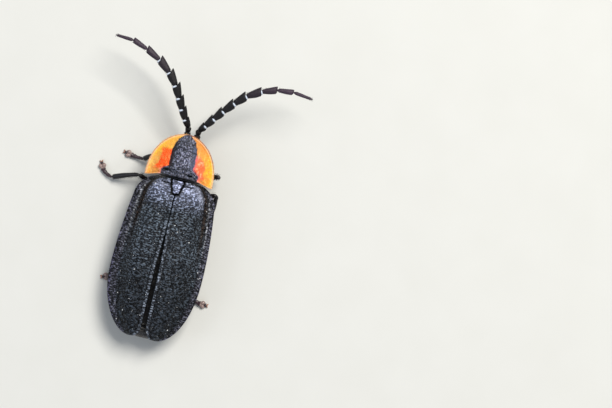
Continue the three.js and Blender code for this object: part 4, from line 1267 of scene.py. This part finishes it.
def coat_on_shield():
    """Short hairs over the shield, dark on its black back, golden on its margins, lying forwards and out."""
    rng = np.random.default_rng(SEED + 30)
    count = 3600
    around, share = rng.random(count), np.sqrt(rng.uniform(0.0, 0.98, count))

    def surface(around, share):
        """Top of the shield, at this share of the way from its middle to its outline."""
        out_x, out_y = shield_outline(around % 1.0)
        x, y = mix(SHIELD_MIDDLE[0], out_x, share), mix(SHIELD_MIDDLE[1], out_y, share)
        return stacked(x, y, shield_height(x, y, share))

    roots, normals, _ = slopes(surface, around, share)
    normals = normals * np.sign(normals[:, 2:3])
    out = unit(roots - np.array([0.0, 0.6, 2.6]))
    lie = unit(out - normals * dots(out, normals))
    length, lift = rng.uniform(0.07, 0.13, count), np.radians(rng.uniform(12, 40, count))
    radius = rng.uniform(0.005, 0.008, count)
    on_band = np.abs(roots[:, 0]) < band_half(roots[:, 1])
    coat = (roots + (SHIELD_X, 0, 0), normals, lie, length, radius, lift, np.stack([around, share], -1))
    for name, chosen, material, slot in (
        ("pronotum_back_setae", on_band, SOOTY_SETA, "grey_cuticle"),
        ("pronotum_margin_setae", ~on_band, GOLD_SETA, "amber_cuticle"),
    ):
        shell, patch = hairs(*(values[chosen] for values in coat))
        add_piece(name, shell, material, slot, bake_map=patch)


def coat_on_limbs():
    """Fine dark bristles round the thighs, shins, feet and antennae, lying towards their ends."""
    rng = np.random.default_rng(SEED + 40)
    # For each piece its runs: start, end, half width, half height, number of hairs and their length
    runs = {}
    for name, places in LEGS.items():
        hip, knee, ankle = np.array(places[1:4])
        stops = foot_route(places, np.linspace(0, 1, 4))
        runs[f"leg_{name}"] = [(hip, knee, 0.2, 0.16, 260, 0.12), (knee, ankle, 0.14, 0.12, 320, 0.12)]
        runs[f"leg_{name}"] += [(stops[k], stops[k + 1], 0.09, 0.075, 90, 0.08) for k in range(3)]
    for name in SIDES:
        joints = antenna_points(name)
        runs[f"antenna_{name}"] = [
            (joints[k], joints[k + 1], half * 0.82, min(half * 0.66, 0.13), 190, 0.085)
            for k, half in enumerate(ANTENNA_HALF_WIDTHS)
        ]
    for piece in sorted(runs):
        shells, patches = [], []
        for number, (start, end, wide, deep, count, long) in enumerate(runs[piece]):
            t, angle = rng.uniform(0.06, 0.96, count), rng.uniform(0, 2 * math.pi, count)
            along = unit(end - start)
            side = unit(np.cross(along, (0.0, 0.0, 1.0)))
            above = np.cross(side, along)
            c, s = np.cos(angle)[:, None], np.sin(angle)[:, None]
            normals = unit(side * c / wide + above * s / deep)
            roots = mix(start, end, t[:, None]) + (side * c * wide + above * s * deep) * 0.94
            lift = np.radians(rng.uniform(15, 45, count))
            length, radius = rng.uniform(0.6, 1.0, count) * long, rng.uniform(0.004, 0.006, count)
            places = np.stack([angle / (2 * math.pi), (number + t) / len(runs[piece])], -1)
            lie = np.broadcast_to(along, roots.shape)
            keep = roots[:, 2] > 0.05
            coat = (roots, normals, lie, length, radius, lift, places)
            shell, patch = hairs(*(values[keep] for values in coat))
            shells.append(on_floor(shell))
            patches.append(patch)
        slot = "brown_cuticle" if piece.startswith("leg") else "black_cuticle"
        add_piece(f"{piece}_setae", joined(shells), DARK_SETA, slot, bake_map=np.concatenate(patches))


def coat_on_trunk():
    """Sparse hairs under the body and all round the tip of the abdomen, lying back."""
    rng = np.random.default_rng(SEED + 50)
    count = 5200
    y = rng.uniform(-8.3, 3.0, count)
    turn = np.where(y < -7.7, rng.uniform(0.15, 1.96, count), rng.uniform(1.04, 1.96, count)) * math.pi

    def surface(y, turn):
        """The trunk's section at y, at this angle round it."""
        half, top, edge, bottom = trunk_profile(y)
        c, s = np.cos(turn), np.sin(turn)
        z = edge + powered(s, 0.9) * np.where(s > 0, top - edge, edge - bottom)
        return stacked(powered(c, 0.8) * half + HEAD_X * smooth(2.2, 2.6, y), y, z)

    roots, normals, along = slopes(surface, y, turn)
    away = roots - stacked(0.0, y, trunk_profile(y)[2])
    normals = normals * np.sign(dots(normals, away))
    lie = unit(-along + 0.3 * rng.normal(size=(count, 3)))
    lie = unit(lie - normals * dots(lie, normals))
    length, radius = rng.uniform(0.09, 0.17, count), rng.uniform(0.005, 0.008, count)
    lift = np.radians(rng.uniform(10, 35, count))
    places = np.stack([turn / (2 * math.pi), (y + 9) / 13], -1)
    shell, patch = hairs(roots - normals * 0.015, normals, lie, length, radius, lift, places)
    add_piece("trunk_setae", shell, PALE_SETA, "black_cuticle", bake_map=patch)


FLECK_COUNT, LARGE_FLECKS = 120, 18


def make_dust():
    """Flecks of dust and pollen, 0.02 to 0.1 mm across, that sit on the wing cases: uneven octahedra."""
    rng = np.random.default_rng(SEED + 60)
    ball = np.array([(0, 0, 1), (1, 0, 0), (0, 1, 0), (-1, 0, 0), (0, -1, 0), (0, 0, -1.0)])
    faces = np.array([(0, 1, 2), (0, 2, 3), (0, 3, 4), (0, 4, 1), (5, 2, 1), (5, 3, 2), (5, 4, 3), (5, 1, 4)])
    shells = []
    for number in range(FLECK_COUNT):
        u, v, side = rng.uniform(0.03, 0.97), rng.uniform(0.05, 0.95), rng.choice((-1, 1))
        x = mix(elytron_inner(u), elytron_outer(u), v)
        centre = np.array([side * x, elytron_y(u), elytron_height(u, x) + 0.01])
        largest = rng.uniform(0.034, 0.046) if number < LARGE_FLECKS else rng.uniform(0.01, 0.024)
        size = largest * rng.uniform(0.7, 1.3, (6, 1))
        shells.append((centre + ball * size, np.zeros((0, 4), int), faces))
    add_piece("dust_flecks", joined(shells), DUST, "grey_cuticle")


# Stage, light and camera

PHOTO_WIDTH, PHOTO_HEIGHT = 612, 408
MM_PER_PIXEL = 0.05714
BODY_LEAN = math.radians(13.6)
PLAN_ORIGIN_PIXEL = (175.4, 194.7)
CAMERA_LENS = 200.0
CAMERA_SENSOR = 36.0
FOCUS_Z = 2.4
FLOOR_HALF = 0.6
# Place, size and power of each soft box, and its colour
SOFT_BOXES = {
    "soft_box_key": ((0.06, 0.12, 0.21), 0.11, 0.72, "#fffaf2"),
    "soft_box_fill": ((-0.2, -0.02, 0.16), 0.16, 0.12, "#eef3ff"),
    "soft_box_rear": ((0.02, -0.22, 0.12), 0.14, 0.08, "#f2f5ff"),
}


def make_lights():
    """An even grey-blue surround, and square soft boxes that face the middle of the beetle."""
    world = bpy.data.worlds.new("studio")
    world.use_nodes = True
    world.node_tree.nodes["Background"].inputs["Color"].default_value = rgba("#dfe6ee")
    world.node_tree.nodes["Background"].inputs["Strength"].default_value = 0.38
    bpy.context.scene.world = world
    for name, (place, size, power, colour) in SOFT_BOXES.items():
        lamp = bpy.data.lights.new(name, "AREA")
        lamp.size, lamp.energy, lamp.color = size, power, linear(colour)
        light = bpy.data.objects.new(name, lamp)
        bpy.context.scene.collection.objects.link(light)
        light.location = place
        light.rotation_euler = (-Vector(place)).to_track_quat("-Z", "Y").to_euler()
    bpy.context.scene.view_settings.view_transform = "Standard"


def make_floor():
    """A flat square board at height 0, which belongs to the stage."""
    corners = [(-FLOOR_HALF, -FLOOR_HALF, 0), (FLOOR_HALF, -FLOOR_HALF, 0)]
    corners += [(FLOOR_HALF, FLOOR_HALF, 0), (-FLOOR_HALF, FLOOR_HALF, 0)]
    mesh = bpy.data.meshes.new("floor_board")
    mesh.from_pydata(corners, [], [(0, 1, 2, 3)])
    mesh.materials.append(FLOOR_BOARD)
    floor = bpy.data.objects.new("floor_board", mesh)
    bpy.context.scene.collection.objects.link(floor)


def make_camera():
    """Looks straight down, turned so that the body leans to the right as it does in the picture."""
    cos, sin = math.cos(BODY_LEAN), math.sin(BODY_LEAN)
    right = (PHOTO_WIDTH / 2 - PLAN_ORIGIN_PIXEL[0]) * MM_PER_PIXEL
    down = (PHOTO_HEIGHT / 2 - PLAN_ORIGIN_PIXEL[1]) * MM_PER_PIXEL
    centre = np.array([right * cos + down * sin, right * sin - down * cos, 0.0]) * MM + PLAN_ORIGIN
    distance = PHOTO_WIDTH * MM_PER_PIXEL * MM * CAMERA_LENS / CAMERA_SENSOR
    data = bpy.data.cameras.new("camera")
    data.lens, data.sensor_width = CAMERA_LENS, CAMERA_SENSOR
    data.clip_start, data.clip_end = 0.01, 10.0
    camera = bpy.data.objects.new("camera", data)
    camera.location = (centre[0], centre[1], FOCUS_Z * MM + distance)
    camera.rotation_euler = (0.0, 0.0, BODY_LEAN)
    bpy.context.scene.collection.objects.link(camera)
    bpy.context.scene.camera = camera


make_camera()
make_floor()
make_lights()
make_trunk()
make_eyes()
make_jaws()
make_palps()
make_shield()
make_scutellum()
make_hind_wings()
make_elytra()
make_antennae()
make_legs()
coat_on_elytra()
coat_on_shield()
coat_on_limbs()
coat_on_trunk()
make_dust()
